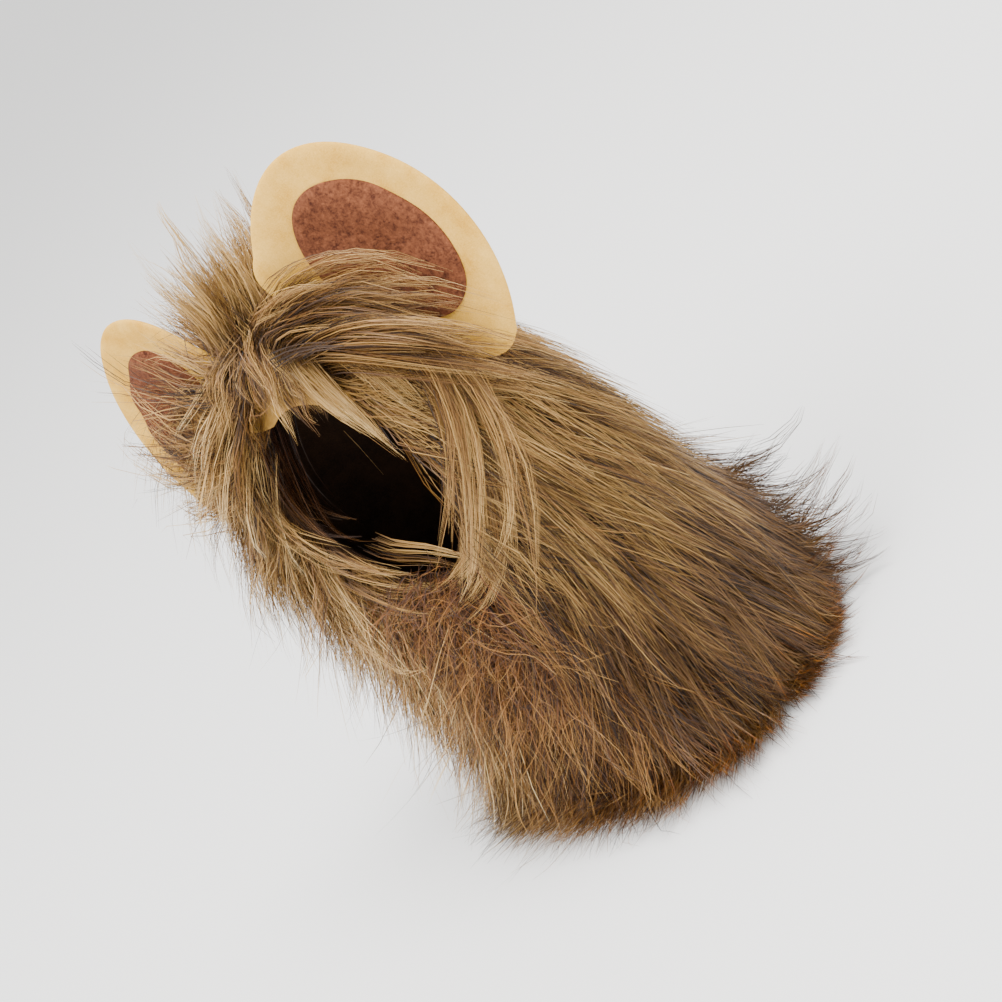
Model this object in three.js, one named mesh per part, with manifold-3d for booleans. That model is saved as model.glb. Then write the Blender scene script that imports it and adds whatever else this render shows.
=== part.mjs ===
// A fur lion-mane hood for a cat: a flattened tube of long-pile fabric, open at the neck hem and at the face,
// with a dark lining, two padded plush ears with fleece patches, and a tan brow band.
// It stands on its neck hem: millimetres, +Z towards the crown, the face opening looks along -Y.
import * as THREE from "three";
import { mergeVertices } from "three/addons/utils/BufferGeometryUtils.js";
import Module from "manifold-3d";

const wasm = await Module();
wasm.setup();

// Hood wall, measured to the outer face of the fabric.
const hoodHalfWidth = 66;
const hoodHalfDepth = 30;
const crownHeight = 198;
const shoulderHeight = 100;
const hemHalfWidth = 70;
const hemHalfDepth = 43;
const flareHeight = 110;
const forwardLean = 9;
const sideSlump = 10;
const wallThickness = 2.5;
const crownFullness = 2.6;
const hoodSides = 32;
const wallRings = 5;
const crownRings = 5;

// Lining, a thin wall inside the hood that stops short of the hem.
const liningThickness = 1.2;
const liningHemRise = 3;

// Face opening, an upright oval.
const faceWidth = 72;
const faceHeight = 88;
const faceDrop = 53;
const faceFringe = 6;
const faceCentreHeight = crownHeight - faceDrop;

// Brow band, a strip that narrows the opening along its upper edge.
const browBandWidth = 11;
const browBandStart = 38;
const browBandEnd = 128;

// Ears, padded and rounded, sewn to the crown on a slope.
const earHalfWidth = 43;
const earHeight = 46;
const earSkew = 12;
const earRoot = 24;
const earThickness = 5;
const earEdgeThinning = 0.75;
const earCup = 5;
const earForward = 6;
const earLean = 15;
const earTopSquareness = 0.92;
const earRootSquareness = 0.7;

// Where the middle of each ear's base lies on the crown, in shares of the hood's half-width and of its height, and
// how steeply that base runs down to the side, in degrees.
const earPlaces = {
  left: { side: 1, out: 0.82, height: 0.957, slope: 49 },
  right: { side: -1, out: 0.81, height: 0.884, slope: 50 },
};

// Fleece patch on the front face of each ear.
const patchHalfWidth = 28;
const patchHalfHeight = 22;
const patchRise = 13;
const patchThickness = 1.6;
const patchEdgeThinning = 0.7;

// Pads are cut into rings at these shares of their outline, each of as many points.
const padShares = [0.45, 0.8, 1];
const padSectors = 24;

// Fur, as locks rooted in the hood wall. Those near the hem reach past it by hemReach, and in front by bibReach.
const lockLength = 64;
const lockLengthSpread = 0.15;
const lockWidth = 36;
const lockThickness = 13;
const lockSteps = 4;
const lockSides = 5;
const lockLift = 0.8;
const lockPitch = 36;
const lockRowPitch = 33;
const crownRowPitch = 24;
const lowestRowHeight = 22;
const crownRowRest = 0.5;
const crownFront = 9;
const hemReach = 4;
const bibReach = 18;
const hemSplay = 0.75;
const splayFloor = 2;

// How a lock's half-width and half-thickness run along it: root + swell * share - thin * share squared.
const lockProfile = {
  width: { root: 0.55, swell: 1.5, thin: 1.85 },
  thickness: { root: 0.7, swell: 0.9, thin: 1.35 },
};

// Room that touching pieces keep to each other.
const clearance = 0.3;

const TAU = 2 * Math.PI;
const degrees = Math.PI / 180;

// How the fur is combed. Each row is one place on the hood, in shares of its half-width, half-depth and height,
// with the way the pile runs there and how many millimetres its tips stand off the fabric.
const combing = [
  { place: "tuft", at: [0, 0.1, 1], run: [0.1, 0.45, 0.88], stand: 52 },
  { place: "far tuft", at: [-0.25, 0.05, 0.99], run: [-0.4, 0.25, 0.85], stand: 52 },
  { place: "far crown", at: [-0.5, -0.15, 0.95], run: [-0.85, -0.1, 0.3], stand: 34 },
  { place: "forelock", at: [0, -0.75, 0.96], run: [0.3, -0.4, -0.5], stand: 12 },
  { place: "over the near ear", at: [0.35, -0.35, 0.98], run: [0.95, -0.1, -0.05], stand: 30 },
  { place: "over the far ear", at: [-0.4, -0.75, 0.93], run: [-0.85, -0.25, -0.15], stand: 24 },
  { place: "near brow", at: [0.55, -0.7, 0.88], run: [0.7, -0.1, -0.7], stand: 14 },
  { place: "near cheek", at: [0.78, -0.7, 0.72], run: [0.25, 0.08, -0.95], stand: 13 },
  { place: "near rim", at: [0.45, -0.9, 0.66], run: [-0.15, -0.3, -0.9], stand: 18 },
  { place: "near jaw", at: [0.5, -0.9, 0.5], run: [0, -0.2, -0.95], stand: 22 },
  { place: "far cheek", at: [-0.72, -0.8, 0.78], run: [-0.8, -0.2, -0.6], stand: 24 },
  { place: "far rim", at: [-0.42, -0.95, 0.6], run: [0.4, -0.2, -0.8], stand: 18 },
  { place: "far jaw", at: [-0.75, -0.85, 0.5], run: [-0.4, -0.25, -0.85], stand: 30 },
  { place: "chin", at: [0.05, -1, 0.5], run: [-0.1, -0.4, -0.8], stand: 26 },
  { place: "throat", at: [-0.02, -1, 0.34], run: [-0.2, -0.3, -0.85], stand: 10 },
  { place: "low throat", at: [-0.05, -1, 0.2], run: [-0.2, -0.3, -0.85], stand: 12 },
  { place: "near edge of the throat", at: [0.38, -0.92, 0.34], run: [0, -0.15, -1], stand: 24 },
  { place: "far edge of the throat", at: [-0.42, -0.92, 0.3], run: [-0.3, -0.35, -0.85], stand: 27 },
  { place: "bib", at: [0.05, -1, 0.06], run: [-0.2, -0.3, -0.9], stand: 24 },
  { place: "near side", at: [1, 0, 0.5], run: [0.05, 0.12, -1], stand: 14 },
  { place: "far side", at: [-1, 0, 0.5], run: [-0.15, 0.05, -1], stand: 24 },
  { place: "near hem", at: [1, 0.1, 0.1], run: [0.1, 0.1, -1], stand: 14 },
  { place: "far hem", at: [-1, 0.2, 0.1], run: [-0.1, 0.1, -1], stand: 20 },
  { place: "nape", at: [0, 1, 0.55], run: [0, 0.1, -1], stand: 10 },
  { place: "back hem", at: [0.3, 1, 0.1], run: [0.1, 0.3, -0.9], stand: 28 },
  { place: "back of the crown", at: [0, 0.8, 0.95], run: [0, 0.7, -0.7], stand: 15 },
];
const combingReach = 0.2;

// Locks combed to stand further off than this leave the fabric and run straight, wholly so from the second value on.
const freeFrom = 30;
const freeWholly = 50;
const freeShortening = 0.62;

// The hood's half-width and half-depth at a height, where its middle has slumped to, and how far its crown has
// closed there (0 to 1).
function sectionAt(z, grow) {
  const flare = Math.max(0, 1 - Math.max(0, z) / flareHeight) ** 2;
  const closing = Math.max(0, (z - shoulderHeight) / (crownHeight - shoulderHeight + grow));
  return {
    halfWidth: hoodHalfWidth + (hemHalfWidth - hoodHalfWidth) * flare + grow,
    halfDepth: hoodHalfDepth + (hemHalfDepth - hoodHalfDepth) * flare + grow,
    side: -sideSlump * (Math.max(0, z) / crownHeight) ** 2,
    middle: forwardLean * (0.5 - z / crownHeight),
    room: Math.sqrt(Math.max(0, 1 - closing ** crownFullness)),
    closing,
  };
}

const faceCentreSide = sectionAt(faceCentreHeight, 0).side;

// Below 0 inside the hood's outer face, 0 on it and above 0 outside.
function outside(point) {
  const s = sectionAt(point.z, 0);
  const across = (point.x - s.side) / s.halfWidth;
  const along = (point.y - s.middle) / s.halfDepth;
  return across ** 2 + along ** 2 + s.closing ** crownFullness - 1;
}

// The outward slope of that measure, by small differences.
function slopeAt(point) {
  const step = 0.05;
  const slope = new THREE.Vector3();
  for (const axis of ["x", "y", "z"]) {
    const ahead = point.clone();
    const behind = point.clone();
    ahead[axis] += step;
    behind[axis] -= step;
    slope[axis] = (outside(ahead) - outside(behind)) / (2 * step);
  }
  return slope;
}

// The point brought back to the fabric along that slope.
function settled(point) {
  const result = point.clone();
  for (let pass = 0; pass < 4; pass++) {
    const slope = slopeAt(result);
    result.addScaledVector(slope, -outside(result) / slope.lengthSq());
  }
  return result;
}

// A geometry made a manifold solid, and a solid made a named mesh.
function solidOf(geometry) {
  const bare = new THREE.BufferGeometry().setAttribute("position", geometry.getAttribute("position"));
  bare.setIndex(geometry.index);
  const merged = mergeVertices(bare, 1e-4);
  return new wasm.Manifold(
    new wasm.Mesh({
      numProp: 3,
      vertProperties: merged.attributes.position.array,
      triVerts: new Uint32Array(merged.index.array),
    }),
  );
}

function meshOf(name, solid, material) {
  const { numProp, numVert, vertProperties, triVerts } = solid.getMesh();
  const positions = new Float32Array(numVert * 3);
  for (let i = 0; i < numVert; i++) {
    positions.set(vertProperties.subarray(i * numProp, i * numProp + 3), i * 3);
  }
  const geometry = new THREE.BufferGeometry()
    .setAttribute("position", new THREE.BufferAttribute(positions, 3))
    .setIndex(new THREE.BufferAttribute(triVerts, 1));
  geometry.computeVertexNormals();
  const mesh = new THREE.Mesh(geometry, material);
  mesh.name = name;
  return mesh;
}

// A closed skin through rings of points, each ring turning counter-clockwise seen from the last ring's side, with
// a fan from one point at each end.
function skinned(firstPoint, rings, lastPoint) {
  const sides = rings[0].length;
  const points = [firstPoint, ...rings.flat(), lastPoint];
  const faces = [];
  const at = (ring, side) => 1 + ring * sides + (side % sides);
  for (let side = 0; side < sides; side++) {
    faces.push(0, at(0, side + 1), at(0, side));
    for (let ring = 0; ring + 1 < rings.length; ring++) {
      faces.push(at(ring, side), at(ring, side + 1), at(ring + 1, side + 1));
      faces.push(at(ring, side), at(ring + 1, side + 1), at(ring + 1, side));
    }
    faces.push(points.length - 1, at(rings.length - 1, side), at(rings.length - 1, side + 1));
  }
  const geometry = new THREE.BufferGeometry().setFromPoints(points);
  geometry.setIndex(faces);
  return solidOf(geometry);
}

// The whole volume inside the hood's outer face grown by some millimetres, from a bottom height up. Every such
// volume has its rings at the same levels, so that the faces of one lie parallel to the faces of the next.
function hoodVolume(grow, bottom) {
  const heights = bottom < 0 ? [bottom, 0] : [bottom];
  for (let i = 1; i < wallRings; i++) {
    heights.push((shoulderHeight * i) / wallRings);
  }
  for (let i = 0; i < crownRings; i++) {
    const closing = Math.sin((i / crownRings) * (Math.PI / 2)) ** (2 / crownFullness);
    heights.push(shoulderHeight + closing * (crownHeight + grow - shoulderHeight));
  }
  const rings = heights.map((z) => {
    const s = sectionAt(z, grow);
    return Array.from({ length: hoodSides }, (_, side) => {
      const turn = (TAU * side) / hoodSides;
      return new THREE.Vector3(
        s.side + s.halfWidth * s.room * Math.cos(turn),
        s.middle + s.halfDepth * s.room * Math.sin(turn),
        z,
      );
    });
  });
  const top = crownHeight + grow;
  const [below, above] = [bottom, top].map((z) => {
    const { side, middle } = sectionAt(z, grow);
    return new THREE.Vector3(side, middle, z);
  });
  return skinned(below, rings, above);
}

// An upright prism through the front of the hood, from a shape drawn in X and Z.
function frontPrism(shape) {
  const depth = hemHalfDepth * 2;
  const geometry = new THREE.ExtrudeGeometry(shape, { depth, bevelEnabled: false, curveSegments: 24 });
  return solidOf(geometry.rotateX(Math.PI / 2));
}

// The face opening's outline, grown by some millimetres.
function faceOutline(grow) {
  const shape = new THREE.Shape();
  shape.absellipse(faceCentreSide, faceCentreHeight, faceWidth / 2 + grow, faceHeight / 2 + grow, 0, TAU);
  return shape;
}

// The brow band's own outline, grown by some millimetres: a stretch of the oval ring just inside the opening.
function browOutline(grow) {
  const outer = [faceWidth / 2 - clearance + grow, faceHeight / 2 - clearance + grow];
  const inner = outer.map((radius) => radius - browBandWidth - 2 * grow);
  const from = browBandStart * degrees;
  const to = browBandEnd * degrees;
  const shape = new THREE.Shape();
  shape.absellipse(faceCentreSide, faceCentreHeight, ...outer, from, to, false);
  shape.absellipse(faceCentreSide, faceCentreHeight, ...inner, to, from, true);
  shape.closePath();
  return shape;
}

// One ear's own axes: along its base, up its height and out of its front face.
function earAxes({ side, out, height, slope: steepness }) {
  const slope = steepness * degrees;
  const lean = earLean * degrees;
  const along = new THREE.Vector3(side * Math.cos(slope), 0, -Math.sin(slope));
  const rise = new THREE.Vector3(side * Math.sin(slope), 0, Math.cos(slope));
  const up = rise.multiplyScalar(Math.cos(lean)).add(new THREE.Vector3(0, Math.sin(lean), 0));
  const front = new THREE.Vector3().crossVectors(along, up).multiplyScalar(side);
  const level = height * crownHeight;
  const middle = sectionAt(level, 0).side;
  const origin = new THREE.Vector3(middle + side * out * hoodHalfWidth, -earForward, level);
  return { origin, along, up, front };
}

// How far the ear's outline has slid towards the crown at a height over its base.
function earSlide(height) {
  return -earSkew * Math.max(0, height / earHeight);
}

// How far the ear's middle sheet is dished back, and half its padded thickness, at a place in the ear's plane.
function earSheet(across, height) {
  const straight = (across - earSlide(height)) / earHalfWidth;
  const rim = Math.min(1, straight ** 2 + (height / earHeight) ** 2);
  return { dish: -earCup * (1 - rim), half: (earThickness / 2) * Math.sqrt(1 - earEdgeThinning * rim ** 2) };
}

// A pad between two faces over an outline: rings of points from the front's middle out to the edge and back.
function pad(ear, outline, middle, faceAt) {
  const { origin, along, up, front } = earAxes(ear);
  const place = (across, height, off) =>
    origin.clone().addScaledVector(along, across).addScaledVector(up, height).addScaledVector(front, off);
  const ring = (share, facing) =>
    Array.from({ length: padSectors }, (_, sector) => {
      const [across, height] = outline((TAU * sector) / padSectors);
      const a = middle[0] + (across - middle[0]) * share;
      const h = middle[1] + (height - middle[1]) * share;
      return place(a, h, faceAt(a, h, share, facing));
    });
  const behind = padShares.map((share) => ring(share, -1));
  const before = padShares.map((share) => ring(share, 1));
  const rings = [...behind, ...before.reverse()];
  const ends = [-1, 1].map((facing) => place(...middle, faceAt(...middle, 0, facing)));
  return ear.side > 0 ? skinned(ends[0], rings, ends[1]) : skinned(ends[1], rings.reverse(), ends[0]);
}

function earOutline(grow) {
  return (turn) => {
    const squareness = Math.sin(turn) > 0 ? earTopSquareness : earRootSquareness;
    const rounded = (value, size) => Math.sign(value) * Math.abs(value) ** squareness * (size + grow);
    const height = rounded(Math.sin(turn), Math.sin(turn) > 0 ? earHeight : earRoot);
    return [rounded(Math.cos(turn), earHalfWidth) + earSlide(height), height];
  };
}

function earPad(ear, grow) {
  const faceAt = (across, height, share, facing) => {
    const { dish, half } = earSheet(across, height);
    return dish + facing * (half + grow);
  };
  return pad(ear, earOutline(grow), [0, 0], faceAt);
}

function patchPad(ear, grow) {
  const outline = (turn) => {
    const height = patchRise + (patchHalfHeight + grow) * Math.sin(turn);
    return [(patchHalfWidth + grow) * Math.cos(turn) + earSlide(height), height];
  };
  const faceAt = (across, height, share, facing) => {
    const { dish, half } = earSheet(across, height);
    const thick = facing > 0 ? patchThickness * Math.sqrt(1 - patchEdgeThinning * share ** 6) + grow : -2 * grow;
    return dish + half + clearance + thick;
  };
  return pad(ear, outline, [earSlide(patchRise), patchRise], faceAt);
}

// The way the fur runs at a point, and how far its tips stand off, blended from the combing table.
function combAt(point) {
  const s = sectionAt(point.z, 0);
  const here = [(point.x - s.side) / s.halfWidth, (point.y - s.middle) / s.halfDepth, point.z / crownHeight];
  const run = new THREE.Vector3();
  let stand = 0;
  let total = 0;
  for (const row of combing) {
    const apart = row.at.reduce((sum, value, i) => sum + (value - here[i]) ** 2, 0);
    const weight = Math.exp(-apart / (2 * combingReach ** 2));
    run.addScaledVector(new THREE.Vector3(...row.run), weight);
    stand += row.stand * weight;
    total += weight;
  }
  return { run, stand: stand / total };
}

// The centre line of a lock from its root on the fabric: points with the outward normal and the lock's side way.
// Its foot follows the fabric while the lock lifts off, and near the floor it turns outward. A lock of the tuft
// leaves the fabric instead and runs straight.
function lockPath(root, length) {
  const foot = root.clone();
  const path = [];
  const { run: freeRun, stand: freeStand } = combAt(root);
  const free = Math.min(1, Math.max(0, (freeStand - freeFrom) / (freeWholly - freeFrom)));
  const freeWay = freeRun.normalize().multiplyScalar(length * freeShortening);
  let splay = 0;
  for (let i = 0; i <= lockSteps; i++) {
    const share = i / lockSteps;
    const normal = slopeAt(foot).normalize();
    const { run, stand } = combAt(foot);
    const reach = Math.sqrt(Math.max((length / 4) ** 2, length ** 2 - stand ** 2));
    const way = run.addScaledVector(normal, -run.dot(normal)).normalize();
    const spot = foot.clone().addScaledVector(normal, stand * share ** lockLift - wallThickness * (1 - share));
    const level = new THREE.Vector3(normal.x, normal.y, 0).normalize();
    spot.addScaledVector(level, splay);
    spot.lerp(root.clone().addScaledVector(freeWay, share), free);
    path.push({ spot, normal, sideways: new THREE.Vector3().crossVectors(normal, way) });
    const next = foot.clone().addScaledVector(way, reach / lockSteps);
    splay += Math.max(0, splayFloor - next.z) * hemSplay;
    next.z = Math.max(next.z, splayFloor);
    foot.copy(settled(next));
    foot.z = Math.max(foot.z, splayFloor);
  }
  return path;
}

// One tapered lock: a flattened section carried along its path, fattest before the middle and pointed at the tip.
function lock(root, length) {
  const frontness = Math.max(0, -slopeAt(root).normalize().y);
  const pastHem = hemReach + (bibReach - hemReach) * frontness;
  const path = lockPath(root, Math.min(length, root.z + pastHem));
  const sizeAt = ({ root: start, swell, thin }, share) => start + swell * share - thin * share ** 2;
  const rings = path.slice(0, -1).map(({ spot, normal, sideways }, i) => {
    const share = i / lockSteps;
    const width = (lockWidth / 2) * sizeAt(lockProfile.width, share);
    const thick = (lockThickness / 2) * sizeAt(lockProfile.thickness, share);
    return Array.from({ length: lockSides }, (_, side) => {
      const turn = (TAU * (side + 0.25)) / lockSides;
      const point = spot.clone().addScaledVector(sideways, width * Math.cos(turn));
      point.addScaledVector(normal, thick * Math.sin(turn));
      point.z = Math.max(point.z, 0);
      return point;
    });
  });
  return skinned(path[0].spot, rings, path[lockSteps].spot);
}

// The heights of the lock rows: evenly up the wall, then evenly over the crown's curve, with half a row left over
// at its top.
function rowHeights() {
  const heights = [];
  for (let z = lowestRowHeight; z < shoulderHeight; z += lockRowPitch) {
    heights.push(z);
  }
  const curve = (Math.PI / 4) * (crownHeight - shoulderHeight + hoodHalfWidth);
  const rows = Math.round(curve / crownRowPitch);
  for (let row = 1; row <= rows; row++) {
    const closing = Math.sin((row / (rows + crownRowRest)) * (Math.PI / 2)) ** (2 / crownFullness);
    heights.push(shoulderHeight + closing * (crownHeight - shoulderHeight));
  }
  return heights;
}

// Lock roots: a ring around the face opening, and level rows up the rest of the hood.
function lockRoots() {
  const roots = [];
  const ringHalfWidth = faceWidth / 2 + lockThickness / 2;
  const ringHalfHeight = faceHeight / 2 + lockThickness / 2;
  const ringCount = Math.round((Math.PI * (ringHalfWidth + ringHalfHeight)) / lockPitch);
  for (let i = 0; i < ringCount; i++) {
    const turn = (TAU * (i + 0.5)) / ringCount;
    const z = faceCentreHeight + ringHalfHeight * Math.sin(turn);
    roots.push(settled(new THREE.Vector3(faceCentreSide + ringHalfWidth * Math.cos(turn), -hoodHalfDepth, z)));
  }
  rowHeights().forEach((z, row) => {
    const s = sectionAt(z, 0);
    const girth = Math.PI * s.room * (s.halfWidth + s.halfDepth);
    const count = Math.max(3, Math.round(girth / lockPitch));
    for (let i = 0; i < count; i++) {
      const turn = (TAU * (i + (row % 2) / 2 + 0.25)) / count;
      const root = settled(
        new THREE.Vector3(
          s.side + s.halfWidth * s.room * Math.cos(turn),
          s.middle + s.halfDepth * s.room * Math.sin(turn),
          z,
        ),
      );
      const across = (root.x - faceCentreSide) / (ringHalfWidth + lockWidth / 4);
      const up = (root.z - faceCentreHeight) / (ringHalfHeight + lockWidth / 4);
      if (root.y > s.middle - crownFront || across ** 2 + up ** 2 > 1) {
        roots.push(root);
      }
    }
  });
  return roots;
}

// A repeatable spread of values from 0 to 1 for the differences between locks.
function spread(index) {
  const value = Math.sin(index * 12.9898 + 4.1) * 43758.5453;
  return value - Math.floor(value);
}

function largestBody(solid) {
  return solid.decompose().reduce((a, b) => (a.volume() > b.volume() ? a : b));
}

const openBelow = -10;
const hoodOuter = hoodVolume(0, 0);
const hoodInner = hoodVolume(-wallThickness, openBelow);
const liningOuter = hoodVolume(-wallThickness - clearance, liningHemRise);
const liningInner = hoodVolume(-wallThickness - clearance - liningThickness, openBelow);
const faceCut = frontPrism(faceOutline(0));
const faceView = frontPrism(faceOutline(-faceFringe));
const earSeat = hoodVolume(clearance, openBelow);

function browSolid(grow) {
  const wall = hoodVolume(grow, 0).subtract(hoodVolume(-wallThickness - grow, openBelow));
  return wall.intersect(frontPrism(browOutline(grow)));
}

let fur = wasm.Manifold.union(
  lockRoots().map((root, index) => lock(root, lockLength * (1 + lockLengthSpread * (2 * spread(index) - 1)))),
);
for (const ear of Object.values(earPlaces)) {
  fur = fur.subtract(earPad(ear, clearance)).subtract(patchPad(ear, clearance));
}
fur = fur.subtract(browSolid(clearance)).subtract(faceView);
const mane = largestBody(hoodOuter.subtract(faceCut).add(fur).subtract(hoodInner));
const browBand = browSolid(0);

const fabric = (color, roughness) => new THREE.MeshStandardMaterial({ color, roughness, metalness: 0 });
const furMaterial = fabric(0xa68a5b, 0.9);
const liningMaterial = fabric(0x120a06, 0.95);
const plushMaterial = fabric(0xddbb76, 0.9);
const fleeceMaterial = fabric(0x8b4f3a, 0.95);
const bandMaterial = fabric(0xa8854a, 0.85);

const hat = new THREE.Group();
hat.name = "pet_lion_hat";
hat.add(
  meshOf("mane", mane, furMaterial),
  meshOf("lining", largestBody(liningOuter.subtract(liningInner).subtract(faceCut)), liningMaterial),
  meshOf("brow_band", browBand, bandMaterial),
);
for (const [name, ear] of Object.entries(earPlaces)) {
  hat.add(
    meshOf("ear_" + name, largestBody(earPad(ear, 0).subtract(earSeat)), plushMaterial),
    meshOf("ear_patch_" + name, largestBody(patchPad(ear, 0).subtract(earSeat)), fleeceMaterial),
  );
}

// The origin is under the middle of the whole hat.
const box = new THREE.Box3().setFromObject(hat);
hat.position.set(-(box.min.x + box.max.x) / 2, -(box.min.y + box.max.y) / 2, -box.min.z);

export default hat;
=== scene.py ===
"""A fur lion-mane hood for a cat: its looks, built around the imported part.

Lengths inside the script are millimetres in the hood's own frame, whose zero is under the middle of the neck
hem's outline; `Hood.shift` carries them to the row frame and `mesh_object` to metres.
"""

import logging
from collections.abc import Callable
from dataclasses import dataclass, field
from enum import Enum

import bpy
import numpy as np
from mathutils import Matrix, Vector


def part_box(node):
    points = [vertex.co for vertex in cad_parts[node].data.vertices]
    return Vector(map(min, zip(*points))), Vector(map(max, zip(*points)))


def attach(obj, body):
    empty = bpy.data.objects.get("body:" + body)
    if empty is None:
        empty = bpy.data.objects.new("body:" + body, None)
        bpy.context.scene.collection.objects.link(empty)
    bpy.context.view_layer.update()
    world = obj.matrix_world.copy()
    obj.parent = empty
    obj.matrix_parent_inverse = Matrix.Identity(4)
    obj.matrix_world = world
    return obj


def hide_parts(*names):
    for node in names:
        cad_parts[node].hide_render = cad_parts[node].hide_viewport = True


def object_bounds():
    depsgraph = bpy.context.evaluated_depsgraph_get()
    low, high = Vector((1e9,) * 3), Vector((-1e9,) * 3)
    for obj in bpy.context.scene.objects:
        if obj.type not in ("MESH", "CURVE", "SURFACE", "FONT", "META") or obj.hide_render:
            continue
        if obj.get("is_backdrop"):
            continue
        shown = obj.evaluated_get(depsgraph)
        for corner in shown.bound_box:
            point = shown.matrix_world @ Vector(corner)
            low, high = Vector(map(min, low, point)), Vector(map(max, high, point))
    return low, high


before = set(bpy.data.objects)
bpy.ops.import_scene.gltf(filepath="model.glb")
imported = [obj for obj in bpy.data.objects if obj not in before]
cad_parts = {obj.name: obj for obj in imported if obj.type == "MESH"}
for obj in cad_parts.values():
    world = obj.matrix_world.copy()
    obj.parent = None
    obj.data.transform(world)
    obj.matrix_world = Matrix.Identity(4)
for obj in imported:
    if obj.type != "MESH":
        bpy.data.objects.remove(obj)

LOG = logging.getLogger("lion_hat")
MM = 0.001
TAU = 2 * np.pi
UV_NAME = "OFBake"
TINY = 1e-9

Array = np.ndarray
Stops = tuple[tuple[float, str], ...]


def linear(hex_code: str) -> tuple[float, float, float, float]:
    """The scene-linear colour of an sRGB hex code.

    Args:
        hex_code: Six hex digits after a hash sign.

    Returns:
        Red, green, blue and an alpha of 1.
    """
    parts = [int(hex_code[i : i + 2], 16) / 255 for i in (1, 3, 5)]
    red, green, blue = (c / 12.92 if c <= 0.04045 else ((c + 0.055) / 1.055) ** 2.4 for c in parts)
    return red, green, blue, 1.0


def unit(vectors: Array) -> Array:
    """The vectors scaled to a length of 1 along their last axis."""
    return vectors / np.maximum(np.linalg.norm(vectors, axis=-1, keepdims=True), TINY)


def mesh_object(name: str, points: Array, faces: Array, uv: Array | None = None) -> bpy.types.Object:
    """A smooth mesh object at the origin, made from whole arrays.

    Args:
        name: The object's name.
        points: (n, 3) millimetres in the row frame.
        faces: (m, k) vertex numbers, all faces with k corners.
        uv: (n, 2) map coordinates of the vertices, for pieces that carry their own map.

    Returns:
        The new object, linked to the scene.
    """
    corners = faces.shape[1]
    mesh = bpy.data.meshes.new(name)
    mesh.vertices.add(len(points))
    mesh.vertices.foreach_set("co", (points * MM).astype(np.float32).ravel())
    mesh.loops.add(faces.size)
    mesh.loops.foreach_set("vertex_index", faces.astype(np.int32).ravel())
    mesh.polygons.add(len(faces))
    mesh.polygons.foreach_set("loop_start", np.arange(len(faces), dtype=np.int32) * corners)
    if uv is not None:
        layer = mesh.uv_layers.new(name=UV_NAME)
        layer.data.foreach_set("uv", uv[faces.ravel()].astype(np.float32).ravel())
    mesh.update(calc_edges=True)
    mesh.validate()
    mesh.shade_smooth()
    obj = bpy.data.objects.new(name, mesh)
    bpy.context.scene.collection.objects.link(obj)
    return obj


def grid_faces(rows: int, columns: int, closed: bool) -> Array:
    """Quads over a grid of points stored row by row, wrapped round each row where closed.

    Args:
        rows: Rows of the grid.
        columns: Points in each row.
        closed: Whether each row's end meets its start.

    Returns:
        (m, 4) vertex numbers.
    """
    around = columns if closed else columns - 1
    row, column = np.meshgrid(np.arange(rows - 1), np.arange(around), indexing="ij")
    after = (column + 1) % columns
    here, above = row * columns, (row + 1) * columns
    return np.stack([here + column, here + after, above + after, above + column], axis=-1).reshape(-1, 4)


def shell(outer: Array, inner: Array, faces: Array) -> tuple[Array, Array]:
    """One closed skin from two layers that share their quads.

    The inner layer's quads are turned round, and a wall of quads closes the gap along each free edge.

    Args:
        outer: (n, 3) points of the outer layer, whose quads face outward.
        inner: (n, 3) points of the inner layer.
        faces: (m, 4) quads of the outer layer.

    Returns:
        The points and quads of the closed skin.
    """
    count = len(outer)
    edges = np.stack([faces, np.roll(faces, -1, axis=1)], axis=-1).reshape(-1, 2)
    key = np.sort(edges, axis=1)
    _, first, times = np.unique(key[:, 0] * count + key[:, 1], return_index=True, return_counts=True)
    free = edges[first[times == 1]]
    walls = np.stack([free[:, 1], free[:, 0], free[:, 0] + count, free[:, 1] + count], axis=1)
    quads = np.concatenate([faces, faces[:, ::-1] + count, walls])
    used, renamed = np.unique(quads, return_inverse=True)
    return np.concatenate([outer, inner])[used], renamed.reshape(quads.shape)


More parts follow.
